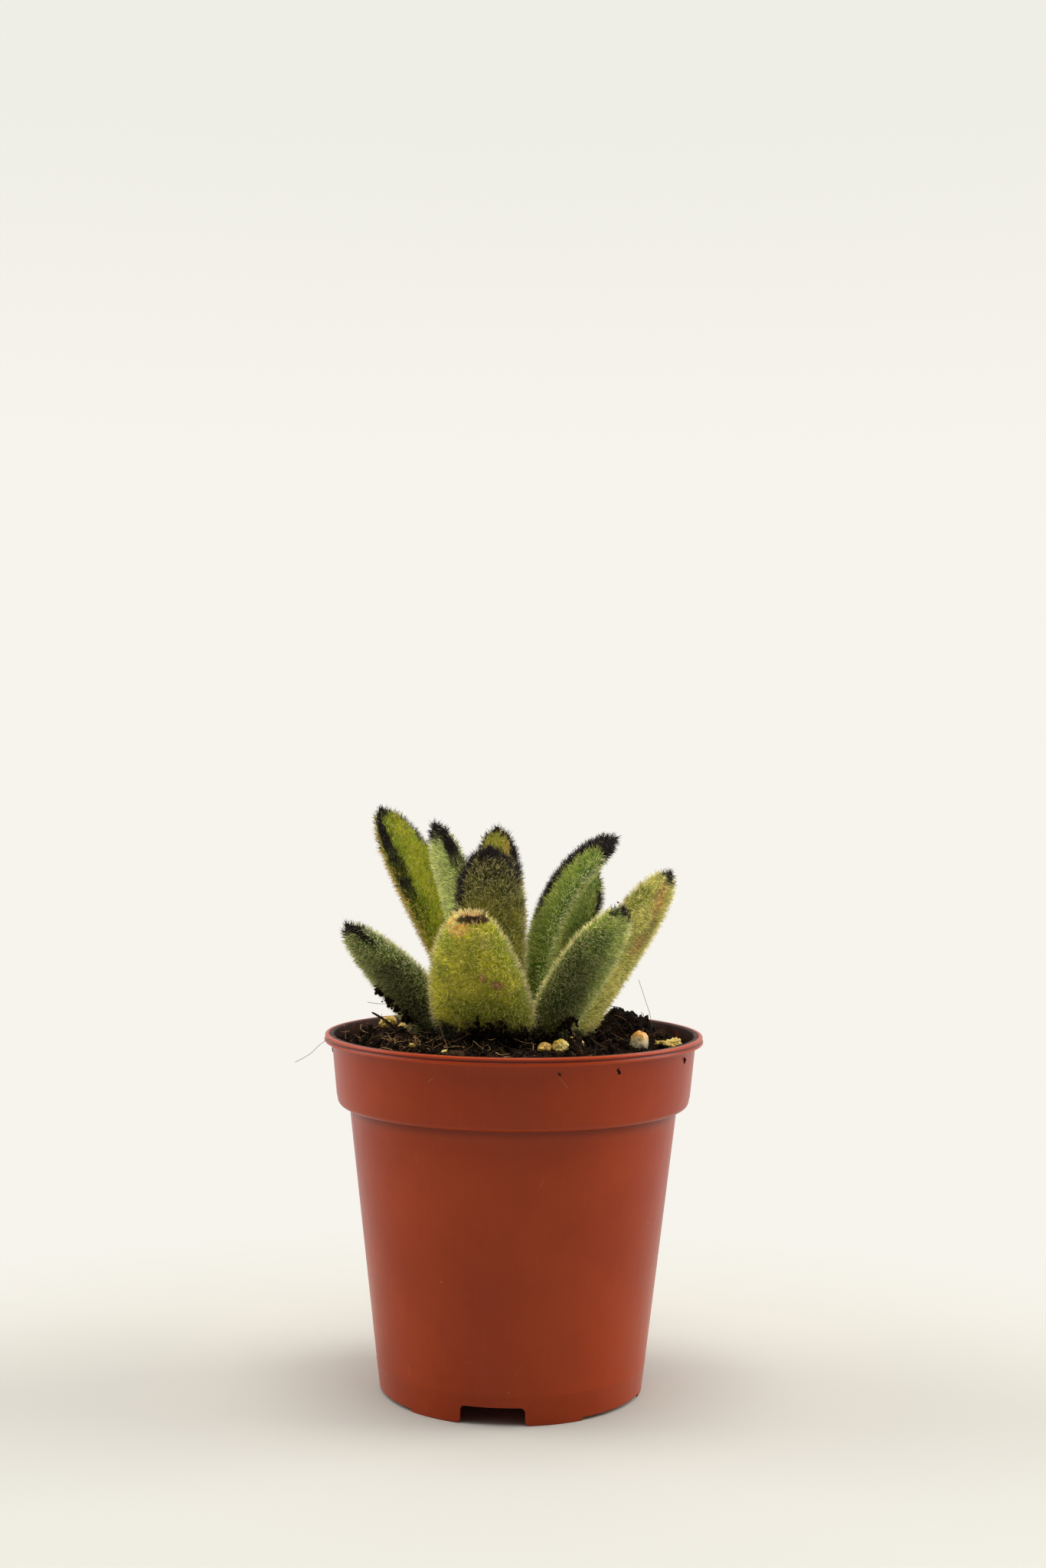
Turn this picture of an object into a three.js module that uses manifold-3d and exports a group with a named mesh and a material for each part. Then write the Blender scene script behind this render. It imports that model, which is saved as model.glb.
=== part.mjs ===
// A panda plant, Kalanchoe tomentosa, in a small plastic nursery pot.
// Millimetres, +Z up. The origin is the middle of the pot's base, and the plant's front looks along -Y.
import * as THREE from "three";
import { mergeVertices } from "three/addons/utils/BufferGeometryUtils.js";
import Module from "manifold-3d";

// ---------------------------------------------------------------- driving dimensions
const touchGap = 0.3; // left between two pieces that touch
const roundSegments = 48; // facets round the pot and the soil

// Pot: an upright collar with a lip, over a tapered body on three pairs of feet
const potHeight = 51.3;
const rimRadius = 27.5; // outside of the lip
const lipReach = 1.1; // how far the lip stands proud of the collar
const lipHeight = 1.1;
const wall = 0.7;
const collarHeight = 9.1;
const collarTaper = 0.9; // the collar is this much slimmer at its lower edge
const collarCorner = 0.9;
const bodyStep = 1.7; // from the collar's lower edge in to the body
const bodyDraft = 6.64; // degrees off the vertical
const footThickness = 1.1; // of the ring that the pot stands on
const floorRaise = 3; // underside of the floor above the ground
const floorThickness = 0.9;
const notchCount = 3;
const notchWidth = 9;
const notchHeight = 2.6;
const notchCorner = 0.7;
const notchFlare = 0.8; // extra width each side where the notch meets the ground
const notchTurn = -7.3; // degrees from the front to the first notch
const reliefSpan = 42; // degrees of each shallow relief between two notches
const reliefDepth = 0.5;
const drainRadius = 2.4;
const drainCircle = 10.5; // radius of the circle of drain holes
const drainCount = 3;

// Potting soil
const soilDrop = 1.2; // from the rim's top down to the soil
const moundHeight = 3;
const moundRadius = 6.5;
const moundAzimuth = 37; // degrees from +X
const moundInset = 5.6; // from the collar's inside in to the mound's middle
const soilRipple = 0.35;
const rippleLength = 1.7;

// Stem and roots
const stemX = -0.3;
const stemY = -1.2;
const stemRadius = 2.2;
const stemFootRadius = 1.8;
const stemTipRadius = 1.1;
const stemAbove = 1.7; // growing tip above the soil
const stemBelow = 13.7; // root collar below the soil
const rootCount = 6;
const rootRadius = 0.75;
const rootTipRadius = 0.3;
const rootWallClearance = 4.5; // between the root tips and the pot
const rootFloorClearance = 8;
const rootSpacing = 0.4; // each root leaves the stem this much above the last
const rootRise = 1.5; // of the first root above the stem's foot
const rootCurl = 10; // degrees that a root swings round on its way
const deepRootReach = 0.6; // of the full reach, for every second root, which goes deep

// Leaves. Places are measured from the crown, which is the stem's middle at soil level. azimuth (degrees
// from +X) and rise say where the leaf leaves the stem, bend steers its midrib and tip ends it; outer is
// the way that its rounded back looks; widest and footShare say where it is broadest and how much of that
// is left at its foot; fullness shapes the end (2 is a half ellipse), and ending below 1 leaves a blunt scar.
const leaves = {
  leaf_front: {
    azimuth: 254, rise: -5, bend: [-4.9, -10, 4.5], tip: [-5.9, -14.6, 19], outer: [-0.22, -1, -0.35],
    width: 14.5, thickness: 4.8, widest: 0.48, footShare: 0.42, fullness: 1.9, ending: 0.93,
  },
  leaf_centre: {
    azimuth: 262, rise: 0.2, bend: [-3.7, -5.4, 14.8], tip: [-3.4, -3.6, 28.3], outer: [-0.1, -1, -0.1],
    width: 10.4, thickness: 4, widest: 0.68, footShare: 0.36, fullness: 1.9, ending: 1,
  },
  leaf_left_low: {
    azimuth: 186, rise: -7, bend: [-11, 3, 3.9], tip: [-23.7, -5, 17.1], outer: [-0.3, -0.62, -0.6],
    width: 9.6, thickness: 4.6, widest: 0.55, footShare: 0.36, fullness: 2.3, ending: 1,
  },
  leaf_left_tall: {
    azimuth: 147, rise: -3.2, bend: [-8.8, 10.3, 15.8], tip: [-20.4, 14.4, 33.4], outer: [-0.62, 0.72, -0.3],
    width: 9.8, thickness: 3.8, widest: 0.66, footShare: 0.36, fullness: 2.1, ending: 1,
  },
  leaf_left_inner: {
    azimuth: 178, rise: 0.2, bend: [-5, 2.4, 16.3], tip: [-11.6, 2.2, 31.5], outer: [-0.78, -0.62, -0.2],
    width: 8.6, thickness: 3.6, widest: 0.62, footShare: 0.38, fullness: 2, ending: 1,
  },
  leaf_back_centre: {
    azimuth: 88, rise: -0.8, bend: [-2.2, 7.4, 15.9], tip: [-2.6, 13.8, 30.7], outer: [0.05, 1, -0.3],
    width: 7.4, thickness: 3.8, widest: 0.7, footShare: 0.38, fullness: 2.1, ending: 1,
  },
  leaf_right_tall: {
    azimuth: 12, rise: 0.2, bend: [1.8, 3.2, 21.9], tip: [14.9, 1.6, 29.6], outer: [0.9, 0.36, -0.4],
    width: 8.4, thickness: 3.5, widest: 0.66, footShare: 0.32, fullness: 2.4, ending: 1,
  },
  leaf_right_behind: {
    azimuth: 38, rise: -3, bend: [6.1, 9.6, 10.5], tip: [12.3, 11.8, 24.2], outer: [0.62, 0.72, -0.3],
    width: 8.4, thickness: 3.8, widest: 0.64, footShare: 0.38, fullness: 2.2, ending: 1,
  },
  leaf_right_front: {
    azimuth: 324, rise: -3.6, bend: [7.2, -8.6, 8.8], tip: [15.7, -9.8, 20], outer: [0.5, -0.76, -0.42],
    width: 9.6, thickness: 4.4, widest: 0.56, footShare: 0.38, fullness: 2.3, ending: 1,
  },
  leaf_right_outer: {
    azimuth: 3, rise: -8.6, bend: [11.8, 4.8, 9.5], tip: [23.3, 5.8, 24.4], outer: [0.62, -0.7, -0.35],
    width: 9.8, thickness: 4.2, widest: 0.66, footShare: 0.34, fullness: 2.3, ending: 1,
  },
  leaf_rear_low: {
    azimuth: 92, rise: -5.9, bend: [-0.6, 11, 1.9], tip: [-1.8, 21.4, 11.9], outer: [0, 0.6, -0.8],
    width: 10.4, thickness: 4.4, widest: 0.6, footShare: 0.36, fullness: 2.2, ending: 1,
  },
  young_leaf_back: {
    azimuth: 120, rise: 1.3, bend: [-0.5, 0, 5.3], tip: [-0.6, -0.5, 9.8], outer: [-0.5, 0.8, 0],
    width: 3, thickness: 1.5, widest: 0.6, footShare: 0.55, fullness: 2.1, ending: 1,
  },
  young_leaf_front: {
    azimuth: 310, rise: 1.3, bend: [0.8, -0.9, 4.3], tip: [0.7, -0.8, 8.3], outer: [0.6, -0.8, 0],
    width: 2.6, thickness: 1.4, widest: 0.6, footShare: 0.55, fullness: 2.1, ending: 1,
  },
};
const leafStations = 10;
const leafSides = 12;
const outerShare = 0.58; // of a leaf's thickness that lies on its rounded outer side
const footThicknessShare = 0.55;
const thickestShare = 0.4; // of a leaf's length, where it reaches its full thickness
const thicknessFullness = 2.6; // how late its thickness falls away towards the tip

// Loose pieces on the soil. azimuth (degrees from +X) and inset (from the collar's inside) place those by the
// rim, and reach (from the pot's middle) those by the plant; size is a piece's three half axes, lean tips it
// and sunk is the depth of it that the soil holds.
const granules = {
  granule_right: { azimuth: -24.5, inset: 5.8, size: [1.25, 1.25, 1.75], lean: [8, 6, 0], sunk: 0.8 },
  flake_right_upper: { azimuth: -14.5, inset: 2.1, size: [1.5, 0.9, 0.8], lean: [0, -24, 20], sunk: 0.2 },
  flake_right_lower: { azimuth: -21, inset: 2.5, size: [1.2, 0.8, 0.55], lean: [0, 12, -30], sunk: 0.1 },
  granule_centre_left: { azimuth: -70, reach: 12.89, size: [1, 1, 0.9], lean: [0, 0, 15], sunk: 0.4 },
  granule_centre_right: { azimuth: -61, reach: 13.59, size: [1.15, 1.1, 1.1], lean: [10, 0, 40], sunk: 0.3 },
  granule_left_large: { azimuth: 148, inset: 2.9, size: [1.3, 1, 0.95], lean: [0, -12, 10], sunk: 0.1 },
  granule_left_small: { azimuth: 149.5, inset: 5.9, size: [0.7, 0.7, 0.7], lean: [0, 0, 0], sunk: 0.1 },
  granule_rear_left: { azimuth: 118, inset: 4.4, size: [1.2, 1, 0.9], lean: [0, 10, 50], sunk: 0.5 },
  granule_rear_right: { azimuth: 72, inset: 4.2, size: [1, 0.9, 0.8], lean: [0, -8, 30], sunk: 0.4 },
};
const barkChips = {
  bark_chip_right: { azimuth: 3, inset: 4.2, size: [1.5, 1, 0.7], lean: [10, -28, 30], sunk: 0.3 },
  bark_chip_front: { azimuth: -112, inset: 4, size: [1.7, 1.1, 0.6], lean: [6, 0, 35], sunk: 0.25 },
  bark_chip_rear: { azimuth: 100, inset: 3.2, size: [1.8, 1.2, 0.6], lean: [-6, 4, 20], sunk: 0.25 },
};
const lumpRoughness = { granule: 0.08, barkChip: 0.22 }; // bumps, as a share of a piece's size
const twigAzimuth = 157;
const twigInset = 5; // to the twig's middle
const twigLength = 6;
const twigRadius = 0.28;
const twigTipRadius = 0.17;
const twigTilt = 34; // degrees up towards its outer end
const twigTurn = 12; // degrees between its run and the way straight out
const twigSunk = 0.6; // of its lower end in the soil

// ---------------------------------------------------------------- derived sizes
const degree = Math.PI / 180;
const collarTopRadius = rimRadius - lipReach;
const collarFootRadius = collarTopRadius - collarTaper;
const collarFootHeight = potHeight - lipHeight - collarHeight;
const bodyTopRadius = collarFootRadius - bodyStep;
const footRadius = bodyTopRadius - collarFootHeight * Math.tan(bodyDraft * degree);
const floorTop = floorRaise + floorThickness;
const soilLevel = potHeight - soilDrop;
const soilEdgeRadius = collarRadiusAt(soilLevel) - wall - touchGap;
const crown = new THREE.Vector3(stemX, stemY, soilLevel);
const front = -90; // azimuth, degrees from +X

function bodyRadiusAt(z) {
  return footRadius + z * Math.tan(bodyDraft * degree);
}

function collarRadiusAt(z) {
  return collarFootRadius + (collarTaper * (z - collarFootHeight)) / collarHeight;
}

function polar(azimuth, radius, z = 0) {
  return new THREE.Vector3(radius * Math.cos(azimuth * degree), radius * Math.sin(azimuth * degree), z);
}

// ---------------------------------------------------------------- solids and booleans
const wasm = await Module();
wasm.setup();

// Shared vertices are merged, and the slivers that a lathe leaves at its poles are dropped.
function welded(geometry) {
  const bare = geometry.clone();
  bare.deleteAttribute("normal");
  bare.deleteAttribute("uv");
  const merged = mergeVertices(bare, 1e-4);
  const corners = merged.index.array;
  const kept = [];
  for (let i = 0; i < corners.length; i += 3) {
    const [a, b, c] = [corners[i], corners[i + 1], corners[i + 2]];
    if (a !== b && b !== c && c !== a) kept.push(a, b, c);
  }
  merged.setIndex(kept);
  return merged;
}

function toSolid(geometry) {
  const clean = welded(geometry);
  const vertProperties = new Float32Array(clean.attributes.position.array);
  const triVerts = new Uint32Array(clean.index.array);
  return new wasm.Manifold(new wasm.Mesh({ numProp: 3, vertProperties, triVerts }));
}

function toGeometry(solid) {
  const mesh = solid.getMesh();
  const geometry = new THREE.BufferGeometry();
  geometry.setAttribute("position", new THREE.BufferAttribute(new Float32Array(mesh.vertProperties), 3));
  geometry.setIndex(Array.from(mesh.triVerts));
  return geometry;
}

function cutAll(geometry, tools) {
  let solid = toSolid(geometry);
  for (const tool of tools) solid = solid.subtract(toSolid(tool));
  return toGeometry(solid);
}

// A closed skin over rings of points, with a cap on the middle of the first and the last ring.
function loft(rings) {
  const sides = rings[0].length;
  const points = rings.flat();
  const corners = [];
  for (let i = 0; i + 1 < rings.length; i++) {
    for (let j = 0; j < sides; j++) {
      const a = i * sides + j;
      const b = i * sides + ((j + 1) % sides);
      corners.push(a, b + sides, b, a, a + sides, b + sides);
    }
  }
  const lastRing = (rings.length - 1) * sides;
  points.push(middleOf(rings[0]), middleOf(rings[rings.length - 1]));
  for (let j = 0; j < sides; j++) {
    const next = (j + 1) % sides;
    corners.push(points.length - 2, j, next);
    corners.push(points.length - 1, lastRing + next, lastRing + j);
  }
  const geometry = new THREE.BufferGeometry().setFromPoints(points);
  geometry.setIndex(corners);
  return geometry;
}

function middleOf(ring) {
  const middle = new THREE.Vector3();
  for (const point of ring) middle.addScaledVector(point, 1 / ring.length);
  return middle;
}

// Rings square to a curve; sectionAt(share) gives a ring's points as [across, out] pairs.
function ringsAlong(curve, outer, shares, sectionAt) {
  return shares.map((share) => {
    const place = curve.getPoint(share);
    const along = curve.getTangent(share);
    const across = new THREE.Vector3().crossVectors(along, outer).normalize();
    const out = new THREE.Vector3().crossVectors(across, along);
    return sectionAt(share).map(([x, y]) => place.clone().addScaledVector(across, x).addScaledVector(out, y));
  });
}

// A round tube that tapers along a curve, or the same tube grown by a clearance on every side.
function taperedTube(curve, startRadius, endRadius, stations, sides, grown = 0) {
  const shares = Array.from({ length: stations + 1 }, (_, i) => i / stations);
  const anyAcross = new THREE.Vector3(0.31, 0.24, 0.92);
  const rings = ringsAlong(curve, anyAcross, shares, (share) => {
    const radius = startRadius + (endRadius - startRadius) * share + grown;
    return roundSection(radius, radius, radius, sides);
  });
  pushEndsOut(rings, curve, grown);
  return loft(rings);
}

function pushEndsOut(rings, curve, distance) {
  const start = curve.getTangent(0).multiplyScalar(-distance);
  const end = curve.getTangent(1).multiplyScalar(distance);
  for (const point of rings[0]) point.add(start);
  for (const point of rings[rings.length - 1]) point.add(end);
}

function roundSection(halfWidth, outerBulge, innerBulge, sides) {
  return Array.from({ length: sides }, (_, i) => {
    const angle = (2 * Math.PI * i) / sides;
    const bulge = Math.sin(angle) > 0 ? outerBulge : innerBulge;
    return [halfWidth * Math.cos(angle), bulge * Math.sin(angle)];
  });
}

// ---------------------------------------------------------------- pot
function roundedCorner(x, z, radius, startAngle, endAngle, steps) {
  return Array.from({ length: steps + 1 }, (_, i) => {
    const angle = (startAngle + ((endAngle - startAngle) * i) / steps) * degree;
    return new THREE.Vector2(x + radius * Math.cos(angle), z + radius * Math.sin(angle));
  });
}

function potProfile() {
  const point = (x, z) => new THREE.Vector2(x, z);
  const lipMiddle = potHeight - lipHeight / 2;
  const lipRound = lipHeight / 2;
  return [
    point(0, floorRaise),
    point(bodyRadiusAt(floorRaise) - footThickness, floorRaise),
    point(footRadius - footThickness, 0),
    point(footRadius, 0),
    point(bodyTopRadius, collarFootHeight),
    ...roundedCorner(
      collarFootRadius - collarCorner,
      collarFootHeight + collarCorner,
      collarCorner,
      -90,
      0,
      3,
    ),
    point(collarTopRadius, potHeight - lipHeight),
    ...roundedCorner(rimRadius - lipRound, lipMiddle, lipRound, -75, 90, 4),
    point(collarTopRadius - wall, potHeight),
    point(collarFootRadius - wall, collarFootHeight + wall),
    point(bodyTopRadius - wall, collarFootHeight + wall),
    point(bodyRadiusAt(floorTop) - wall, floorTop),
    point(0, floorTop),
  ];
}

function notchTool() {
  const half = notchWidth / 2;
  const outline = new THREE.Shape();
  outline.moveTo(-half - notchFlare, -1);
  outline.lineTo(-half - notchFlare, 0);
  outline.quadraticCurveTo(-half, 0, -half, notchFlare);
  outline.lineTo(-half, notchHeight - notchCorner);
  outline.absarc(-half + notchCorner, notchHeight - notchCorner, notchCorner, Math.PI, Math.PI / 2, true);
  outline.absarc(half - notchCorner, notchHeight - notchCorner, notchCorner, Math.PI / 2, 0, true);
  outline.lineTo(half, notchFlare);
  outline.quadraticCurveTo(half, 0, half + notchFlare, 0);
  outline.lineTo(half + notchFlare, -1);
  outline.closePath();
  const reach = footRadius;
  const tool = new THREE.ExtrudeGeometry(outline, { depth: reach, bevelEnabled: false, curveSegments: 3 });
  tool.rotateX(90 * degree); // the outline stands up and the tool reaches out along -Y
  tool.translate(0, -footRadius / 2, 0);
  return tool;
}

// A thin slice of the foot ring, taken away between two notches.
function reliefTool() {
  const outside = footRadius + 2;
  const inside = footRadius - footThickness - 2;
  const half = (reliefSpan / 2) * degree;
  const outline = new THREE.Shape();
  outline.absarc(0, 0, outside, -half, half, false);
  outline.absarc(0, 0, inside, half, -half, true);
  outline.closePath();
  const tool = new THREE.ExtrudeGeometry(outline, {
    depth: reliefDepth + 1,
    bevelEnabled: false,
    curveSegments: 8,
  });
  tool.translate(0, 0, -1);
  return tool;
}

function potGeometry() {
  const body = new THREE.LatheGeometry(potProfile(), roundSegments);
  body.rotateX(90 * degree);
  const tools = [];
  for (let i = 0; i < notchCount; i++) {
    const turn = notchTurn + (360 * i) / notchCount;
    tools.push(notchTool().rotateZ(turn * degree));
    tools.push(reliefTool().rotateZ((front + turn + 180 / notchCount) * degree));
  }
  for (let i = 0; i < drainCount; i++) {
    const place = polar(front + notchTurn + (360 * (i + 0.5)) / drainCount, drainCircle, floorRaise);
    const hole = new THREE.CylinderGeometry(drainRadius, drainRadius, 4 * floorThickness, 14);
    tools.push(hole.rotateX(90 * degree).translate(place.x, place.y, place.z));
  }
  return cutAll(body, tools);
}

// ---------------------------------------------------------------- leaves
// How wide a leaf is at a share of its length: an easing rise to the widest place, then a rounded end.
function widthShareAt(leaf, share) {
  if (share < leaf.widest) {
    const climb = Math.sin((share / leaf.widest) * 90 * degree);
    return leaf.footShare + (1 - leaf.footShare) * climb;
  }
  const past = ((share - leaf.widest) / (1 - leaf.widest)) * leaf.ending;
  return Math.sqrt(Math.max(0, 1 - past ** leaf.fullness));
}

function thicknessShareAt(leaf, share) {
  const climb = Math.sin(Math.min(1, share / thickestShare) * 90 * degree);
  const past = Math.max(0, (share - thickestShare) / (1 - thickestShare)) * leaf.ending;
  const fall = Math.sqrt(Math.max(0, 1 - past ** thicknessFullness));
  return (footThicknessShare + (1 - footThicknessShare) * climb) * fall;
}

// The midrib. Its foot stands off the stem by the part of the foot's thickness that leans on the stem.
function leafCurve(leaf) {
  const bend = new THREE.Vector3(...leaf.bend).add(crown);
  const tip = new THREE.Vector3(...leaf.tip).add(crown);
  const leaving = bend.clone().sub(polar(leaf.azimuth, stemRadius, leaf.rise).add(crown)).normalize();
  const innerFoot = leaf.thickness * footThicknessShare * (1 - outerShare) * leaving.z;
  const foot = polar(leaf.azimuth, stemRadius + touchGap + innerFoot, leaf.rise).add(crown);
  return new THREE.QuadraticBezierCurve3(foot, bend, tip);
}

// One leaf, or the same leaf grown by a clearance on every side.
function leafGeometry(leaf, grown = 0) {
  const curve = leafCurve(leaf);
  const shares = Array.from({ length: leafStations + 1 }, (_, i) => 1 - (1 - i / leafStations) ** 1.5);
  if (leaf.ending === 1) shares[leafStations] = 0.997;
  const outer = new THREE.Vector3(...leaf.outer).normalize();
  const rings = ringsAlong(curve, outer, shares, (share) => {
    const halfWidth = (leaf.width / 2) * widthShareAt(leaf, share) + grown;
    const thickness = leaf.thickness * thicknessShareAt(leaf, share);
    return roundSection(
      halfWidth,
      thickness * outerShare + grown,
      thickness * (1 - outerShare) + grown,
      leafSides,
    );
  });
  pushEndsOut(rings, curve, grown);
  return loft(rings);
}

// ---------------------------------------------------------------- stem and roots
function onStem(rise) {
  return new THREE.Vector3(0, 0, rise).add(crown);
}

function rootCurve(index) {
  const azimuth = (360 * index) / rootCount;
  const deep = index % 2 === 1;
  const start = onStem(-stemBelow + rootRise + index * rootSpacing);
  const endZ = deep ? floorTop + rootFloorClearance : (start.z + floorTop + rootFloorClearance) / 2;
  const fullReach = bodyRadiusAt(endZ) - wall - rootWallClearance;
  const reach = deep ? fullReach * deepRootReach : fullReach;
  const bend = polar(azimuth + 2 * rootCurl, reach * 0.6, start.z - rootRise);
  return new THREE.QuadraticBezierCurve3(start, bend, polar(azimuth + rootCurl, reach, endZ));
}

function stemGeometry(grown = 0) {
  const trunk = new THREE.LineCurve3(onStem(-stemBelow), onStem(0));
  const growingTip = new THREE.LineCurve3(onStem(-1), onStem(stemAbove));
  let solid = toSolid(taperedTube(trunk, stemFootRadius, stemRadius, 3, 14, grown));
  solid = solid.add(toSolid(taperedTube(growingTip, stemRadius * 0.95, stemTipRadius, 2, 14, grown)));
  for (let i = 0; i < rootCount; i++) {
    solid = solid.add(toSolid(taperedTube(rootCurve(i), rootRadius, rootTipRadius, 5, 6, grown)));
  }
  return toGeometry(solid);
}

// ---------------------------------------------------------------- soil and what lies on it
function soilHeightAt(x, y) {
  const mound = polar(moundAzimuth, soilEdgeRadius - moundInset);
  const away = Math.hypot(x - mound.x, y - mound.y) / moundRadius;
  const hill = away < 1 ? moundHeight * Math.cos(away * 90 * degree) ** 2 : 0;
  const ripple = soilRipple * Math.sin(x / rippleLength + 1.1) * Math.cos(y / rippleLength - 0.4);
  return soilLevel + hill + ripple;
}

// Where a loose lump lies: turned by its lean, with its lowest part sunk in the soil.
function restingPlace(lump) {
  const place = polar(lump.azimuth, lump.reach ?? soilEdgeRadius - lump.inset);
  const [leanX, leanY, leanZ] = lump.lean;
  const turn = new THREE.Euler(leanX * degree, leanY * degree, leanZ * degree);
  place.z = soilHeightAt(place.x, place.y) + lump.size[2] - lump.sunk;
  return new THREE.Matrix4().compose(
    place,
    new THREE.Quaternion().setFromEuler(turn),
    new THREE.Vector3(1, 1, 1),
  );
}

// A pebble-like lump: a ball whose bumps follow a fixed wave, stretched to its three half axes.
function lumpGeometry(lump, roughness, grown = 0) {
  const ball = welded(new THREE.IcosahedronGeometry(1, 1));
  const points = ball.attributes.position;
  const [a, b, c] = lump.size;
  for (let i = 0; i < points.count; i++) {
    const [x, y, z] = [points.getX(i), points.getY(i), points.getZ(i)];
    const bump = 1 + roughness * Math.sin(5 * x + 2 * y) * Math.cos(4 * z - 3 * y);
    points.setXYZ(i, x * (a * bump + grown), y * (b * bump + grown), z * (c * bump + grown));
  }
  return ball.applyMatrix4(restingPlace(lump));
}

function twigGeometry(grown = 0) {
  const low = polar(twigAzimuth, soilEdgeRadius - twigInset - (twigLength / 2) * Math.cos(twigTilt * degree));
  low.z = soilHeightAt(low.x, low.y) - twigSunk;
  const run = polar(twigAzimuth + twigTurn, twigLength * Math.cos(twigTilt * degree));
  run.z = twigLength * Math.sin(twigTilt * degree);
  const high = low.clone().add(run);
  const bend = low.clone().addScaledVector(run, 0.5).add(new THREE.Vector3(0, 0, twigRadius * 2));
  const curve = new THREE.QuadraticBezierCurve3(low, bend, high);
  return taperedTube(curve, twigRadius, twigTipRadius, 4, 7, grown);
}

function soilProfile() {
  const topRings = 7;
  const clear = wall + touchGap;
  const bottom = floorTop + touchGap;
  const shelfTop = collarFootHeight + clear;
  const profile = [
    new THREE.Vector2(0, bottom),
    new THREE.Vector2(bodyRadiusAt(bottom) - clear, bottom),
    new THREE.Vector2(bodyTopRadius - clear, shelfTop),
    new THREE.Vector2(collarFootRadius - clear, shelfTop),
  ];
  for (let i = topRings; i >= 0; i--) {
    profile.push(new THREE.Vector2((soilEdgeRadius * i) / topRings, soilLevel));
  }
  return profile;
}

function soilGeometry() {
  const soil = welded(new THREE.LatheGeometry(soilProfile(), roundSegments).rotateX(90 * degree));
  const points = soil.attributes.position;
  for (let i = 0; i < points.count; i++) {
    if (points.getZ(i) > soilLevel - 0.01) points.setZ(i, soilHeightAt(points.getX(i), points.getY(i)));
  }
  const tools = [stemGeometry(touchGap)];
  for (const leaf of Object.values(leaves)) tools.push(leafGeometry(leaf, touchGap));
  for (const granule of Object.values(granules)) {
    tools.push(lumpGeometry(granule, lumpRoughness.granule, touchGap));
  }
  for (const chip of Object.values(barkChips)) {
    tools.push(lumpGeometry(chip, lumpRoughness.barkChip, touchGap));
  }
  tools.push(twigGeometry(touchGap));
  return cutAll(soil, tools);
}

// ---------------------------------------------------------------- the object
const group = new THREE.Group();

function place(name, geometry, color, roughness) {
  geometry.computeVertexNormals();
  const mesh = new THREE.Mesh(geometry, new THREE.MeshStandardMaterial({ color, roughness, metalness: 0 }));
  mesh.name = name;
  group.add(mesh);
}

place("pot", potGeometry(), 0x9a4528, 0.42);
place("potting_soil", soilGeometry(), 0x1d140d, 0.95);
place("stem_with_roots", stemGeometry(), 0x6d6a3c, 0.8);
for (const [name, leaf] of Object.entries(leaves)) place(name, leafGeometry(leaf), 0x5b6b34, 0.85);
for (const [name, granule] of Object.entries(granules)) {
  place(name, lumpGeometry(granule, lumpRoughness.granule), 0xd9bd7e, 0.6);
}
for (const [name, chip] of Object.entries(barkChips)) {
  place(name, lumpGeometry(chip, lumpRoughness.barkChip), 0x2a1b10, 0.9);
}
place("twig", twigGeometry(), 0x20160f, 0.9);

export default group;
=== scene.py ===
# A panda plant in a small plastic nursery pot: fine shapes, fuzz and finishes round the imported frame.
import math
import random

import bmesh
import bpy
import numpy as np
from mathutils import Matrix, Vector, noise


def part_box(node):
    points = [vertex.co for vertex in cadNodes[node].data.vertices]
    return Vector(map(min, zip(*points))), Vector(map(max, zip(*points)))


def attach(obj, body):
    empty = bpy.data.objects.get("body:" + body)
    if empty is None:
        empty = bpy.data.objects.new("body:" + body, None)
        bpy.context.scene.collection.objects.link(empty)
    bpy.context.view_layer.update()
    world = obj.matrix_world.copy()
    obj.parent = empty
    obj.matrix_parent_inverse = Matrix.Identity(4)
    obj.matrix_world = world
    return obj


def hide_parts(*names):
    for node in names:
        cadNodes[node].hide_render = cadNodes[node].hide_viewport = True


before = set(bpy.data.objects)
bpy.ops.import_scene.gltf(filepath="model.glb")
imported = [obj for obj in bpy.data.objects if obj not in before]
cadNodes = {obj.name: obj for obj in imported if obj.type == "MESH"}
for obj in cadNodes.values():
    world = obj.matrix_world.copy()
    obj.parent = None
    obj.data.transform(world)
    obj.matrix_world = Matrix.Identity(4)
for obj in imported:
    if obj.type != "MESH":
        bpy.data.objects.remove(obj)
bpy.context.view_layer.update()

mm = 0.001
scene = bpy.context.scene


# Small helpers that every piece uses

def paint(red, green, blue):
    # a colour from 0 to 255, turned into the linear light that shaders mix in
    return tuple(((c / 255 + 0.055) / 1.055) ** 2.4 for c in (red, green, blue))


def blend(first, second, share):
    return tuple(a + (b - a) * share for a, b in zip(first, second))


def ease(low, high, value):
    # 0 below low and 1 above high, with a smooth rise between; low may be the larger
    share = min(1, max(0, (value - low) / (high - low)))
    return share * share * (3 - 2 * share)


def polar(azimuth, radius, z=0.0):
    turn = math.radians(azimuth)
    return Vector((radius * math.cos(turn), radius * math.sin(turn), z))


def addNode(tree, kind, inputs=None, **settings):
    made = tree.nodes.new(kind)
    for name, value in settings.items():
        setattr(made, name, value)
    for name, value in (inputs or {}).items():
        if isinstance(value, bpy.types.NodeSocket):
            tree.links.new(value, made.inputs[name])
        else:
            made.inputs[name].default_value = value
    return made


def maths(tree, operation, first, second=0.0, third=0.0):
    inputs = {0: first, 1: second, 2: third}
    return addNode(tree, "ShaderNodeMath", inputs, operation=operation).outputs[0]


def times(tree, first, second):
    return maths(tree, "MULTIPLY", first, second)


def mixColours(tree, share, first, second, blendType="MIX"):
    inputs = {0: share, 6: solid(first), 7: solid(second)}
    made = addNode(tree, "ShaderNodeMix", inputs, data_type="RGBA", blend_type=blendType)
    return made.outputs[2]


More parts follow.
